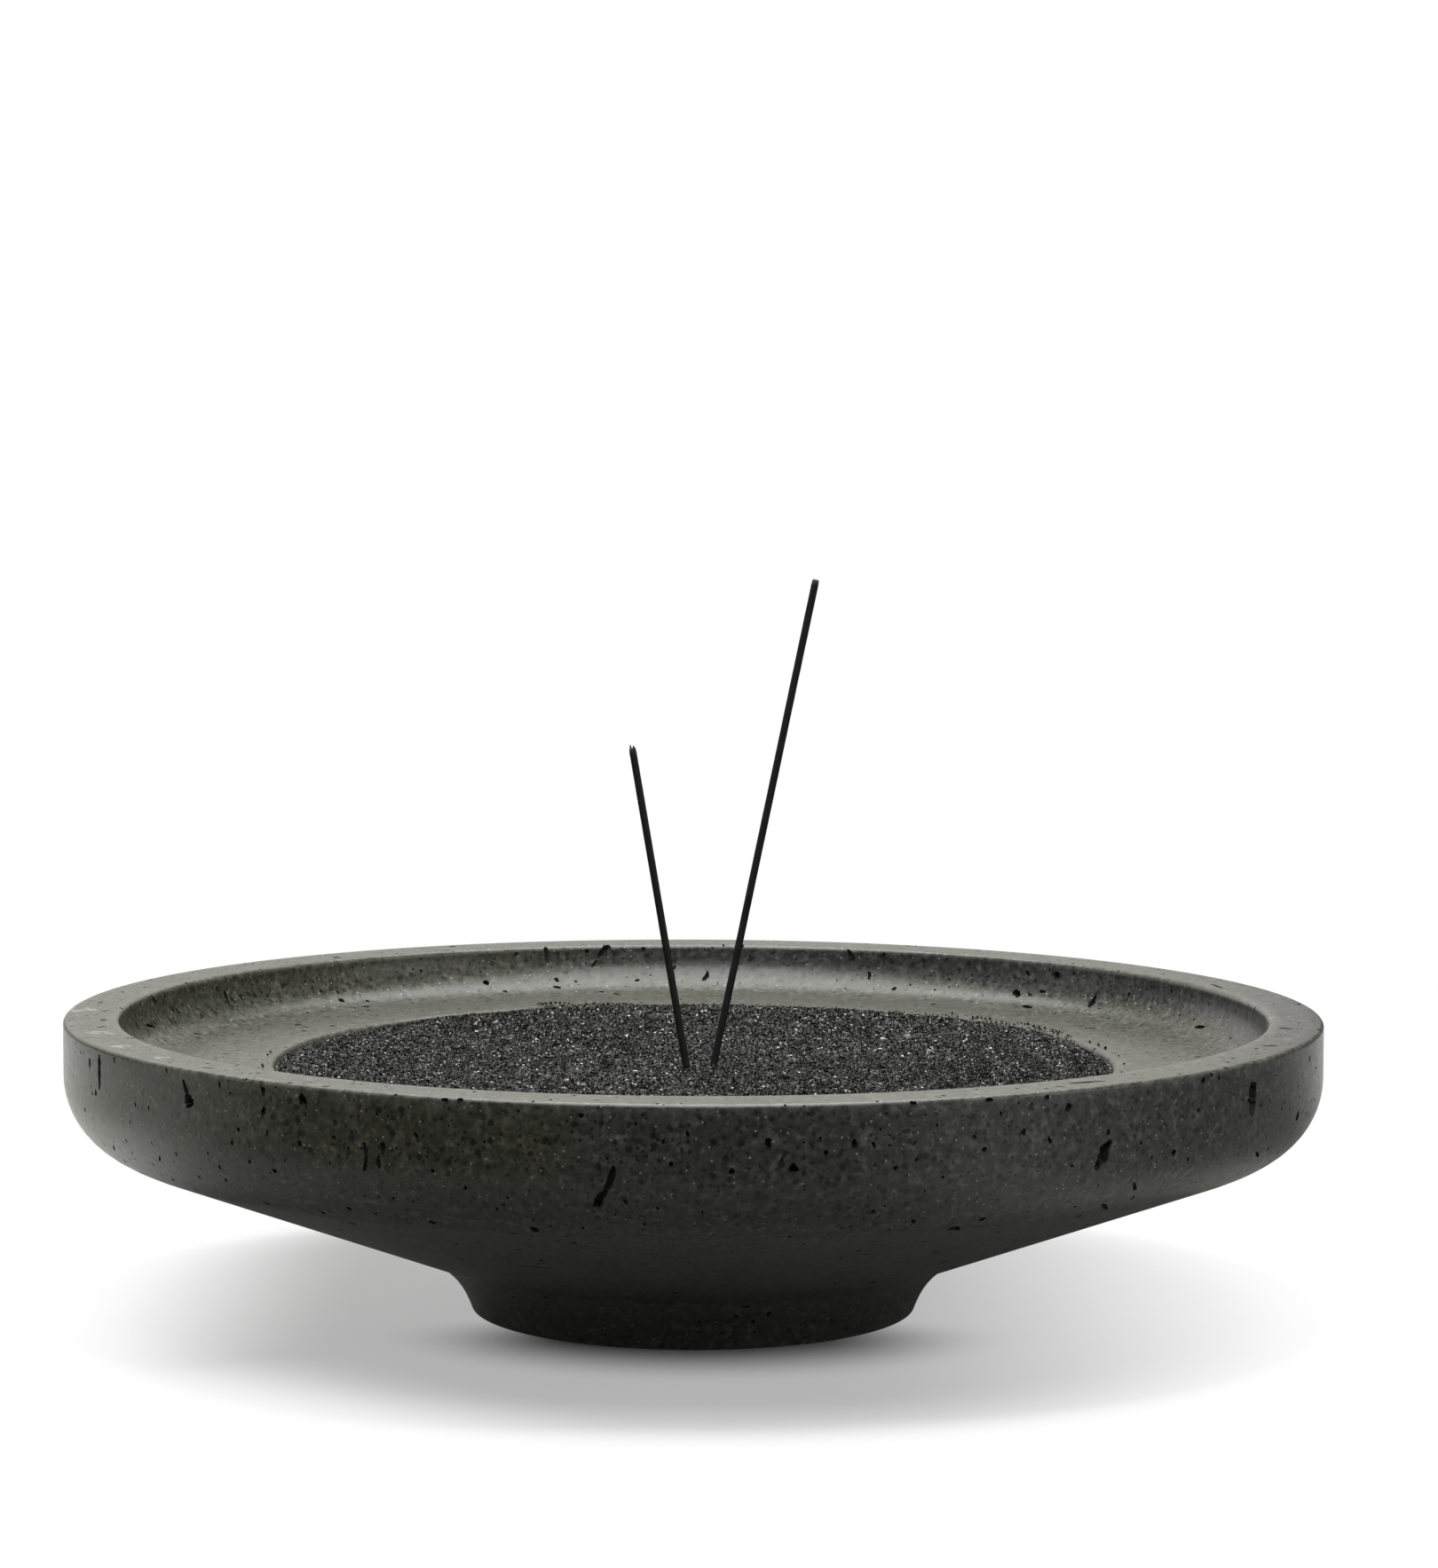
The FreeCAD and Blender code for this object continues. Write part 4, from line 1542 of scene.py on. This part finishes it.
    def bed(self) -> Surface:
        """The sand as one closed block.

        Its top is a square grid bent onto a disc: a point on the square ring of half side r goes to the circle
        of radius r, at an angle in proportion to its place along that side. Each inner point is then jostled.

        Returns:
            The block.
        """
        count = self.cells + 1
        a, b = np.meshgrid(np.linspace(-1, 1, count), np.linspace(-1, 1, count), indexing="xy")
        wide = np.abs(a) > np.abs(b)
        reach = np.where(wide, a, b)
        safe = np.where(reach == 0, 1, reach)
        angle = np.where(wide, np.pi / 4 * b / safe, np.pi / 2 - np.pi / 4 * a / safe)
        x, y = self.side * reach * np.cos(angle), self.side * reach * np.sin(angle)
        inner = np.maximum(np.abs(a), np.abs(b)) < 1
        x, y = (place + inner * self.rng.uniform(-1, 1, place.shape) * self.tumble for place in (x, y))
        z = self.top(x, y) + inner * np.clip(self.rng.normal(0, 0.7, x.shape), -1.5, 1.5) * self.tumble
        flare = 1 + ~inner * self.share(self.bank, x, y) * self.bank_over / self.side
        x, y = x * flare, y * flare
        number = np.arange(count * count).reshape(count, count)
        border = np.concatenate([number[0, :-1], number[:-1, -1], number[-1, :0:-1], number[:0:-1, 0]])
        top = Surface(np.stack([x, y, z], axis=-1).reshape(-1, 3), grid_quads(count, count, False))
        floor = self.bowl.ledge - self.bowl.well
        bow = self.bowl.well_floor
        turn = np.linspace(0, np.pi / 2, 4)
        radius = np.concatenate([self.side - bow + bow * np.cos(turn), [0.4 * self.side]])
        height = np.concatenate([floor + bow - bow * np.sin(turn), [floor]])
        around = np.arctan2(top.points[border, 1], top.points[border, 0])
        rings = polar(radius[:, None], around, height[:, None])
        first = len(top.points)
        strip = np.concatenate([border, first + np.arange(rings[..., 0].size)])
        skirt = strip[grid_quads(len(radius) + 1, len(border), True)][:, ::-1]
        pole = first + rings[..., 0].size
        last = pole - len(border) + np.arange(len(border))
        fan = np.stack([np.full(len(border), pole), np.roll(last, -1), last], axis=-1)
        points = np.concatenate([top.points, rings.reshape(-1, 3), [(0.0, 0.0, floor)]])
        return Surface(points, np.concatenate([top.quads, skirt]), fan)

    def build(self, sticks: list["IncenseStick"]) -> list[Piece]:
        """Lay the sand, push the sticks' holes into it and strew the grains.

        Args:
            sticks: The sticks that stand in it.

        Returns:
            The bed, the sheets of surface grains and the spilt grains.
        """
        mesh = self.bed().mesh("raked_sand", Shading.FLAT)
        bed = add_piece("raked_sand", mesh, [self.material], Body.BOWL, Slot.SAND, "sand_bed")
        for stick in sticks:
            cut(bed, stick.hole())
        bed.data.shade_flat()
        middles = face_middles(bed.data)
        lightness = self.bed_tone * self.tone_and_painted_light(middles[:, 0], middles[:, 1])
        paint_faces(bed.data, "grain", self.finish.colours(len(lightness), self.rng) * lightness[:, None])
        self.flatten(bed.data)
        sheets = [self.strew(f"sand_grains_{number + 1}", sticks) for number in range(self.sheets)]
        return [bed, *sheets, self.spill()]

    def flatten(self, mesh: Mesh) -> None:
        """Lay the bed out for baking: its top as seen from above, and what the well hides in a free corner.

        Args:
            mesh: The bed's mesh.
        """
        corners, faces = face_corners(mesh)
        places = vertex_places(mesh)[corners, :2]
        shown = (face_middles(mesh)[:, 2] > self.level - self.ring_height)[faces, None]
        whole, corner = (middle + places * half / self.side for middle, half in ((0.5, 0.49), (0.03, 0.02)))
        lay_flat(mesh, np.where(shown, whole, corner))

    def grains(self, name: str, middles: Array, sizes: Array, tones: Array | float, *nodes: str) -> Piece:
        """Put loose grains into the scene.

        Args:
            name: The piece's name.
            middles: Where the grains are, (n, 3).
            sizes: Their radii, (n,).
            tones: How light they are, (n, 1) or one number.
            nodes: The CAD nodes that they stand for.

        Returns:
            The piece.
        """
        mesh = crystal_grains(middles, sizes, self.rng).mesh(name, Shading.FLAT)
        colours = self.finish.colours(len(middles), self.rng) * tones
        paint_faces(mesh, "grain", np.repeat(colours, GRAIN_FACES, axis=0))
        flatten_grains(mesh)
        return add_piece(name, mesh, [self.material], Body.BOWL, Slot.SAND, *nodes)

    def strew(self, name: str, sticks: list["IncenseStick"]) -> Piece:
        """One sheet of loose grains that lie on the sand's top.

        Args:
            name: The piece's name.
            sticks: The sticks to stay clear of.

        Returns:
            The sheet.
        """
        rng = self.rng
        radius = (self.side - self.side_gap) * np.sqrt(rng.uniform(0, 1, self.loose))
        bearing = rng.uniform(0, TURN, self.loose)
        x, y = radius * np.cos(bearing), radius * np.sin(bearing)
        mean, spread, *limits = self.loose_sizes
        size = np.clip(rng.normal(mean, spread, self.loose), *limits) * MM
        middles = np.stack([x, y, self.top(x, y) + size * rng.uniform(0.1, 0.7, self.loose)], axis=-1)
        for stick in sticks:
            away = np.hypot(middles[:, 0] - stick.x, middles[:, 1] - stick.y)
            clear = away > stick.radius + self.stick_gap
            middles, size = middles[clear], size[clear]
        tone = self.tone_and_painted_light(middles[:, 0], middles[:, 1])
        over = self.overspill()
        middles = np.concatenate([middles, over])
        size = np.append(size, np.full(len(over), self.over_size))
        tone = np.append(tone, np.full(len(over), self.over_tone))[:, None]
        return self.grains(name, middles, size, tone)

    def overspill(self) -> Array:
        """Grains spilt over the well's rounded edge, fewer and fewer outwards.

        Returns:
            Their middles, (n, 3).
        """
        edge = self.bowl.mouth_edge
        groups = []
        for first, last, reach, count in OVERSPILLS:
            bearing = np.radians(self.rng.uniform(first, last, count))
            bunch = np.sin(np.pi * (np.degrees(bearing) - first) / (last - first)) ** 0.5
            out = self.rng.uniform(0, 1, count) ** 2 * reach * bunch + 0.3 * edge
            low = np.sqrt(np.maximum(edge**2 - np.maximum(edge - out, 0) ** 2, 0)) - edge
            groups.append(polar(self.bowl.mouth + out, bearing, self.bowl.ledge + low + 0.2 * MM))
        return np.concatenate(groups)

    def spill(self) -> Piece:
        """The grains spilt on the ledge round the well.

        Returns:
            The spilt grains.
        """
        rows = [
            (math.radians(bearing), index * spacing, distance)
            for bearing, spacing, count, distance in SPILT_GROUPS
            for index in range(count)
        ]
        bearing, step, distance = np.array(rows).T
        reach = self.bowl.mouth + self.bowl.mouth_edge + distance * self.grain
        angle = bearing + step * self.grain / reach
        size = self.rng.uniform(0.34, 0.5, len(rows)) * self.grain
        middles = polar(reach, angle, self.bowl.ledge + 0.75 * size)
        return self.grains("spilt_grains", middles, size, 1.0, "loose_sand_grains")


@dataclass
class IncenseStick:
    """A leaning stick of incense, from its foot in the sand up to its burnt end.

    Attributes:
        name: What its pieces are called.
        body: The body that carries it.
        towards: 1 if it leans to +X, -1 if to -X.
        length: Unburnt length.
        lean: From the vertical, in degrees.
        x: How far right it enters the sand.
        y: How far back it enters the sand.
        level: Height of the sand's level.
        radius: Of the stick.
        bury: Length below the sand's level.
        clearance: Stick to the sand round it.
        rows: Rings along it.
        waves: Waves along it that make up its unevenness.
        uneven: Size of its unevenness.
        seed: Seed of its unevenness.
    """

    name: str
    body: Body
    towards: int
    length: float
    lean: float
    x: float
    y: float
    level: float
    radius: float = 0.95 * MM
    bury: float = 13 * MM
    clearance: float = 0.1 * MM
    rows: int = 180
    waves: tuple[int, ...] = (3, 7, 16, 34, 60)
    uneven: float = 0.012
    seed: int = 3

    @property
    def end(self) -> float:
        """Where the unburnt part ends, along the stick from where it enters the sand."""
        return self.length - self.bury

    def laid(self, local: Array) -> Array:
        """Carry places from the stick's own frame into the burner's.

        Args:
            local: Places across, behind and along the stick from where it enters the sand, (..., 3).

        Returns:
            The places, (..., 3).
        """
        lean = math.radians(self.lean)
        across = np.array([math.cos(lean), 0.0, -self.towards * math.sin(lean)])
        along = np.array([self.towards * math.sin(lean), 0.0, math.cos(lean)])
        entry = np.array([self.x, self.y, self.level])
        return entry + local[..., :1] * across + local[..., 1:2] * np.array([0.0, 1.0, 0.0]) + local[..., 2:] * along

    def rod(self, heights: Array, radii: Array, columns: int, middle: Array | None = None) -> Surface:
        """A closed rod: place(h, a) = middle(h) + radius(h, a) (cos a, sin a), carried along the stick.

        Args:
            heights: Height of each ring along the stick, (rows,), upwards.
            radii: Radius of each point, (rows, columns) or (rows, 1).
            columns: Points round a ring.
            middle: Sideways place of each ring's middle, (rows, 2), on the axis if left out.

        Returns:
            The rod.
        """
        angle = TURN * np.arange(columns) / columns
        middle = np.zeros((len(heights), 2)) if middle is None else middle
        rings = polar(radii, angle, heights[:, None])
        rings[..., :2] += middle[:, None]
        poles = [np.append(middle[end], heights[end]) for end in (0, -1)]
        return closed_rings(self.laid(rings), *(self.laid(pole) for pole in poles))

    def hole(self) -> Surface:
        """The round hole that the stick leaves in the sand."""
        heights = np.array([-self.bury, self.bury])
        return self.rod(heights, np.full((2, 1), self.radius + self.clearance), ROD_COLUMNS)

    def pressed(self) -> Array:
        """A smooth random factor for each point of the rod: the sum of a few waves along and round it.

        Returns:
            The factors, (rows, columns), from 0.9 to 1.
        """
        rng = np.random.default_rng(self.seed)
        along = np.linspace(0, 1, self.rows)[:, None]
        angle = TURN * np.arange(ROD_COLUMNS)[None] / ROD_COLUMNS
        total = np.zeros((self.rows, ROD_COLUMNS))
        for waves in self.waves:
            turns = rng.integers(0, 4)
            total += rng.normal() * np.sin(TURN * (waves * along + rng.uniform()) + turns * angle)
        return np.clip(1 + self.uneven * (total / 3 - 1), 0.9, 1.0)

    def ragged(self, radius: Array, spread: float, least: float, rng: Chance) -> Array:
        """Radii of a burnt end's skin, ragged on all rings but the first.

        Args:
            radius: Radius of each ring, (rows,).
            spread: Spread of the raggedness.
            least: Least share of its ring's radius that a point may have.
            rng: Source of chance.

        Returns:
            The radii, (rows, columns).
        """
        uneven = rng.normal(0, spread, (len(radius), ROD_COLUMNS))
        uneven[0] = 0
        return radius[:, None] * np.clip(1 + uneven, least, 1.0)

    def build_rod(self, material: Material, node: str) -> Piece:
        """The unburnt stick, with the slight unevenness of pressed paste.

        Args:
            material: Its finish.
            node: The CAD node that it stands for.

        Returns:
            The stick.
        """
        heights = np.linspace(-self.bury, self.end, self.rows)
        skin = self.rod(heights, self.radius * self.pressed(), ROD_COLUMNS)
        mesh = skin.mesh(f"{self.name}_rod", Shading.SMOOTH)
        mesh.set_sharp_from_angle(angle=ROD_SHARP)
        return add_piece(f"{self.name}_rod", mesh, [material], self.body, Slot.INCENSE, node)


@dataclass
class AshCap:
    """The cap of ash on the newly lit stick.

    Attributes:
        stick: The stick that it sits on.
        length: Of the cap.
        top: Radius near its top.
        rounding: Height over which its top is rounded.
        rows: Rings along it.
    """

    stick: IncenseStick
    length: float = 1.6 * MM
    top: float = 0.85 * MM
    rounding: float = 0.35 * MM
    rows: int = 14

    def build(self, material: Material) -> Piece:
        """The cap as a rounded rod whose painted ash grows towards its top.

        Args:
            material: Its finish.

        Returns:
            The cap.
        """
        stick = self.stick
        rng = np.random.default_rng(stick.seed + 1)
        share = 1 - (1 - np.linspace(0, 1, self.rows)) ** 1.6
        heights = share * self.length
        radius = stick.radius + (self.top - stick.radius) * share
        over = np.clip((heights - self.length + self.rounding) / self.rounding, 0, 1)
        radius *= 1 - 0.45 * (1 - np.sqrt(1 - np.minimum(over, 0.999) ** 2))
        radii = stick.ragged(radius, 0.025, 0.9, rng)
        skin = stick.rod(stick.end + heights, radii, ROD_COLUMNS)
        mesh = skin.mesh(f"{stick.name}_ash", Shading.SMOOTH)
        paint_points(mesh, "ash", np.append(np.repeat(share, ROD_COLUMNS), [0.0, 1.0]))
        return add_piece(f"{stick.name}_ash", mesh, [material], stick.body, Slot.ASH, "long_stick_ash_cap")


@dataclass
class CharredTip:
    """The charred end of the burnt-down stick: a broken stub with two splinters left standing.

    Attributes:
        stick: The stick that it sits on.
        length: Of the stub.
        top: Radius of the stub's top.
        splinter: Length of the taller splinter above the stub.
        splinter_foot: Radius of a splinter's foot.
        splinter_tip: Radius of its tip.
        spread: Each splinter's foot from the stub's axis.
        splay: Each splinter's lean from the stub's axis, in degrees.
        rows: Rings along the stub.
        splinter_grid: Rings along a splinter and points round each.
    """

    stick: IncenseStick
    length: float = 2.0 * MM
    top: float = 0.825 * MM
    splinter: float = 0.8 * MM
    splinter_foot: float = 0.3 * MM
    splinter_tip: float = 0.2 * MM
    spread: float = 0.35 * MM
    splay: float = 2.0
    rows: int = 14
    splinter_grid: tuple[int, int] = (9, 8)

    def build(self, material: Material) -> Piece:
        """The stub and its splinters, with ash painted on the side away from the lower splinter.

        Args:
            material: Its finish.

        Returns:
            The tip.
        """
        stick = self.stick
        rng = np.random.default_rng(stick.seed + 1)
        start = stick.end
        share = np.linspace(0, 1, self.rows)
        radius = stick.radius - (stick.radius - self.top) * share**2.2
        radii = stick.ragged(radius, 0.04, 0.85, rng)
        skin = stick.rod(start + share * self.length, radii, ROD_COLUMNS)
        angle = TURN * np.arange(ROD_COLUMNS) / ROD_COLUMNS
        ash = np.clip(share[:, None] * 1.4 - 0.5, 0, 1) * np.clip(0.5 - 0.7 * np.cos(angle), 0, 1)
        ash = np.append(ash.ravel(), [0.0, 0.4])
        splay = math.radians(self.splay)
        rows, columns = self.splinter_grid
        for side, part in ((-1, 1.0), (1, 0.6)):
            reach = np.linspace(0, 1, rows) * (self.splinter * part + 2 * self.splinter_foot)
            heights = start + self.length - 2 * self.splinter_foot + reach * math.cos(splay)
            middle = np.stack([side * (self.spread + reach * math.sin(splay)), 0 * reach], axis=-1)
            thin = np.linspace(self.splinter_foot, self.splinter_tip, rows)[:, None]
            thin = thin * np.clip(1 + rng.normal(0, 0.14, self.splinter_grid), 0.6, 1.0)
            skin = skin.joined(stick.rod(heights, thin, columns, middle))
            ash = np.append(ash, np.full(rows * columns + 2, 0.1))
        mesh = skin.mesh(f"{stick.name}_char", Shading.SMOOTH)
        mesh.set_sharp_from_angle(angle=ROD_SHARP)
        paint_points(mesh, "ash", ash)
        return add_piece(f"{stick.name}_char", mesh, [material], stick.body, Slot.CHAR, "short_stick_charred_tip")


@dataclass(frozen=True)
class Panel:
    """A soft light panel.

    Attributes:
        name: What it is called.
        place: Its middle.
        aim: The point it faces.
        width: Its width.
        height: Its height.
        power: In watts.
        tint: Its colour.
    """

    name: str
    place: Point
    aim: Point
    width: float
    height: float
    power: float
    tint: Colour = WHITE

    def build(self) -> Piece:
        """Hang the panel.

        Returns:
            The lamp.
        """
        data = bpy.data.lights.new(self.name, "AREA")
        data.shape = "RECTANGLE"
        data.size, data.size_y = self.width, self.height
        data.energy = self.power
        data.color = self.tint
        lamp = placed(self.name, data)
        lamp.location = self.place
        lamp.rotation_euler = (Vector(self.aim) - Vector(self.place)).to_track_quat("-Z", "Y").to_euler()
        lamp.visible_camera = False
        return lamp


@dataclass(frozen=True)
class Ramp:
    """A smooth step over the floor, by direction or by distance from the bowl's axis.

    Attributes:
        start: Where it starts.
        end: Where it ends.
        low: Its value before the start.
        high: Its value past the end.
        facing: The direction whose share it goes by, or None if it goes by distance.
    """

    start: float
    end: float
    low: float = 0.0
    high: float = 1.0
    facing: Point | None = None


Ramps = tuple[Ramp, ...]
# Direction from the bowl in which the floor looks dark to it
DARK_SIDE = (-0.35, -0.94, 0.0)


@dataclass
class Studio:
    """Pale floor, white surround and soft light, with painted light and shade on the floor.

    Attributes:
        panels: The light panels.
        ambient: Brightness of the room, as the object sees it.
        floor_radius: Of the floor.
        floor_level: Height of the floor, a little under the foot.
        floor_grid: Rings of the floor and points round each.
        floor_colour: Of the floor, as the camera sees it.
        floor_bounce: Of the floor, as the object sees it.
        bounces: Parts of the floor that the object sees in another colour, painted light and shade that the bowl
            reflects.
        dark: Part of the floor in front that the object sees as dark, painted shade that the bowl reflects.
        dark_reach: Distances over which the dark part goes from its first colour to its second.
        dark_colours: Those two colours.
        painted_glows: Painted light: the floor glows for the object under it, behind it and beside it on the left.
        painted_shadow_lift: Painted light that lifts the floor's shadow: how far the floor in the shadow has melted
            into the white surround, as the camera sees it.
        melts: Directions, and the distances that way between which it melts wholly into the surround, painting the
            shadow's edge.
        melt_round: The same distances all round.
        painted_contact_shadow: Part in front of the foot where the haze hasn't set in, a painted contact shadow.
    """

    panels: tuple[Panel, ...] = (
        Panel("overhead", (0.0, 0.0, 1.25), (0.0, 0.0, 0.0), 1.1, 2.2, 39.0),
        Panel("behind", (-0.56, 1.8, 0.7), (0.0, 0.0, 0.06), 2.25, 1.0, 6.8, (1.0, 0.98, 0.93)),
        Panel("left", (-1.5, 0.1, 0.4), (0.0, 0.0, 0.06), 0.6, 0.8, 0.9, (1.0, 1.0, 0.93)),
        Panel("right", (1.5, -0.7, 0.6), (0.0, 0.0, 0.06), 0.8, 0.8, 3.1),
    )
    ambient: float = 0.06
    floor_radius: float = 1.6
    floor_level: float = -0.05 * MM
    floor_grid: tuple[int, int] = (24, 96)
    floor_colour: Colour = shade(246, 246, 246)
    floor_bounce: Colour = shade(216, 216, 209)
    bounces: tuple[tuple[Colour, Ramps], ...] = (
        (shade(108, 108, 106), (Ramp(0.35, 0.95, facing=RIGHT), Ramp(0.13, 0.22))),
        (shade(186, 186, 180), (Ramp(0.5, 0.85, facing=LEFT), Ramp(0.3, 0.5), Ramp(0.6, 0.4, facing=BACK))),
        (shade(252, 252, 250), (Ramp(0.6, 1.0, facing=BACK),)),
    )
    dark: Ramps = (Ramp(0.32, 0.8, facing=DARK_SIDE), Ramp(0.11, 0.16))
    dark_reach: Ramps = (Ramp(0.2, 0.36),)
    dark_colours: tuple[Colour, Colour] = (shade(122, 122, 118), shade(30, 30, 30))
    painted_glows: tuple[tuple[float, Ramps], ...] = (
        (0.09, (Ramp(0.16, 0.1), Ramp(0.2, 0.9, 1.0, 0.4, DARK_SIDE), Ramp(0.2, 0.8, 1.0, 0.3, RIGHT))),
        (0.3, (Ramp(0.42, 0.62, facing=BACK), Ramp(0.2, 0.3), Ramp(0.1, 0.5, 1.0, 1.4, RIGHT))),
        (0.12, (Ramp(0.3, 0.9, facing=LEFT), Ramp(0.34, 0.24), Ramp(0.13, 0.18))),
    )
    painted_shadow_lift: float = 0.42
    melts: tuple[tuple[Point, Band], ...] = (
        (LEFT, (0.085, 0.165)),
        (RIGHT, (0.03, 0.185)),
        ((-0.7, -0.7, 0.0), (0.1, 0.18)),
    )
    melt_round: Ramps = (Ramp(0.136, 0.164),)
    painted_contact_shadow: Ramps = (Ramp(0.3, 0.85, facing=FRONT), Ramp(0.095, 0.052))

    def build(self) -> None:
        """Set up the lights, the surround and the floor."""
        for panel in self.panels:
            panel.build()
        self.surround()
        self.floor()

    def surround(self) -> None:
        """A world that is white to the camera and dim to the object."""
        world = bpy.data.worlds.new("surround")
        bpy.context.scene.world = world
        world.use_nodes = True
        tree = world.node_tree
        tree.nodes.clear()
        path = tree.nodes.new("ShaderNodeLightPath")
        choice = tree.nodes.new("ShaderNodeMixShader")
        output = tree.nodes.new("ShaderNodeOutputWorld")
        tree.links.new(path.outputs["Is Camera Ray"], choice.inputs[0])
        for socket, colour in ((1, (self.ambient,) * 3), (2, WHITE)):
            light = tree.nodes.new("ShaderNodeBackground")
            light.inputs["Color"].default_value = (*colour, 1.0)
            tree.links.new(light.outputs[0], choice.inputs[socket])
        tree.links.new(choice.outputs[0], output.inputs[0])

    def disc(self) -> Surface:
        """The floor's disc: place(r, a) = (r cos a, r sin a, level).

        Returns:
            The disc, with a fan at its middle.
        """
        rows, columns = self.floor_grid
        here = np.arange(columns)
        radius = np.linspace(0.02, 1, rows)[:, None] * self.floor_radius
        rings = polar(radius, here * TURN / columns, self.floor_level)
        fan = np.stack([np.full(columns, rows * columns), here, (here + 1) % columns], axis=-1)
        points = np.concatenate([rings.reshape(-1, 3), [(0.0, 0.0, self.floor_level)]])
        return Surface(points, grid_quads(rows, columns, True)[:, ::-1], fan)

    def over_floor(self, graph: Graph, ramps: Ramps) -> Socket:
        """A part of the floor, marked out by ramps.

        Args:
            graph: The floor's nodes.
            ramps: The ramps.

        Returns:
            The product of the ramps.
        """
        place = graph.place()
        away = graph.vector("LENGTH", "Value", place)
        way = graph.vector("NORMALIZE", "Vector", place)
        return graph.times(*(
            graph.rise(
                graph.vector("DOT_PRODUCT", "Value", way, ramp.facing) if ramp.facing else away,
                ramp.start, ramp.end, ramp.low, ramp.high,
            )
            for ramp in ramps
        ))

    def painted_bounce(self, graph: Graph) -> Socket:
        """Colour of the floor, as the object sees it, with painted light and shade by direction for the bowl to
        reflect.

        Args:
            graph: The floor's nodes.

        Returns:
            The colour.
        """
        colour = self.floor_bounce
        for tone, ramps in self.bounces:
            colour = graph.mix(self.over_floor(graph, ramps), colour, tone)
        dark = graph.mix(self.over_floor(graph, self.dark_reach), *self.dark_colours)
        return graph.mix(self.over_floor(graph, self.dark), colour, dark)

    def painted_glow(self, graph: Graph) -> Socket:
        """Painted light: how strongly the floor glows for the object.

        Args:
            graph: The floor's nodes.

        Returns:
            Its strength.
        """
        total = 0.0
        for power, ramps in self.painted_glows:
            total = graph.plus(total, graph.times(self.over_floor(graph, ramps), power))
        return total

    def melt_and_painted_lift(self, graph: Graph) -> Socket:
        """How far the floor has melted into the surround, as the camera sees it, which paints how light the shadow
        is and where its edge lies.

        Args:
            graph: The floor's nodes.

        Returns:
            From 0 to 1, where it has melted wholly.
        """
        edge = self.over_floor(graph, self.melt_round)
        for direction, band in self.melts:
            reach = graph.vector("DOT_PRODUCT", "Value", graph.place(), direction)
            edge = graph.math("MAXIMUM", edge, graph.rise(reach, *band))
        # Painted light lifts the shadow by the haze, held back in front of the foot
        melt_and_painted_lift = graph.plus(graph.times(edge, 1 - self.painted_shadow_lift), self.painted_shadow_lift)
        return graph.times(melt_and_painted_lift, graph.minus(1.0, self.over_floor(graph, self.painted_contact_shadow)))

    def floor(self) -> Piece:
        """Lay the floor, whose far part melts into the surround and whose shadow is lifted by painted light.

        Returns:
            The floor.
        """
        mesh = self.disc().mesh("floor", Shading.SMOOTH)
        graph = Graph("pale_floor")
        camera = graph.node("ShaderNodeLightPath").outputs["Is Camera Ray"]
        graph.finish(
            Base_Color=graph.mix(camera, self.painted_bounce(graph), self.floor_colour),
            Roughness=0.9,
            Specular_IOR_Level=0.0,
            Emission_Color=WHITE,
            Emission_Strength=graph.times(self.painted_glow(graph), graph.minus(1.0, camera)),
        )
        white = graph.node("ShaderNodeEmission", {"Color": WHITE}).outputs[0]
        shader = {0: graph.times(self.melt_and_painted_lift(graph), camera), 1: graph.shader.outputs["BSDF"], 2: white}
        graph.feed(graph.output, {"Surface": graph.node("ShaderNodeMixShader", shader).outputs[0]})
        mesh.materials.append(graph.material)
        floor = placed("floor", mesh)
        return floor


def report(pieces: list[Piece]) -> None:
    """Log each piece with its triangles."""
    for piece in pieces:
        LOG.info("%s: %d triangles", piece.name, sum(len(face.vertices) - 2 for face in piece.data.polygons))


def main() -> None:
    """Build the burner and its studio, and log each piece's triangles."""
    logging.basicConfig(level=logging.INFO, format="%(name)s: %(message)s")
    bpy.context.scene.view_settings.view_transform = "Standard"
    view = PhotoView()
    view.build()
    bowl = StoneBowl()
    sand = SandBed(bowl)
    long_stick = IncenseStick(
        "long_stick", Body.LONG_STICK, 1, 138.4 * MM, 11.6, 5.05 * MM, -1.0 * MM, sand.level, seed=3
    )
    short_stick = IncenseStick(
        "short_stick", Body.SHORT_STICK, -1, 93.75 * MM, 9.77, -1.92 * MM, -5.0 * MM, sand.level, seed=8
    )
    paste = IncensePaste().material()
    ash = BurntEnd("fresh_ash", shade(38, 38, 37), shade(82, 82, 80)).material()
    char = BurntEnd("charred_paste", shade(32, 32, 31), shade(120, 120, 117)).material()
    report([bowl.build(view)])
    report(sand.build([long_stick, short_stick]))
    report([
        long_stick.build_rod(paste, "long_incense_stick"),
        short_stick.build_rod(paste, "short_incense_stick"),
        AshCap(long_stick).build(ash),
        CharredTip(short_stick).build(char),
    ])
    Studio().build()
    bpy.context.view_layer.update()


if __name__ == "__main__":
    main()
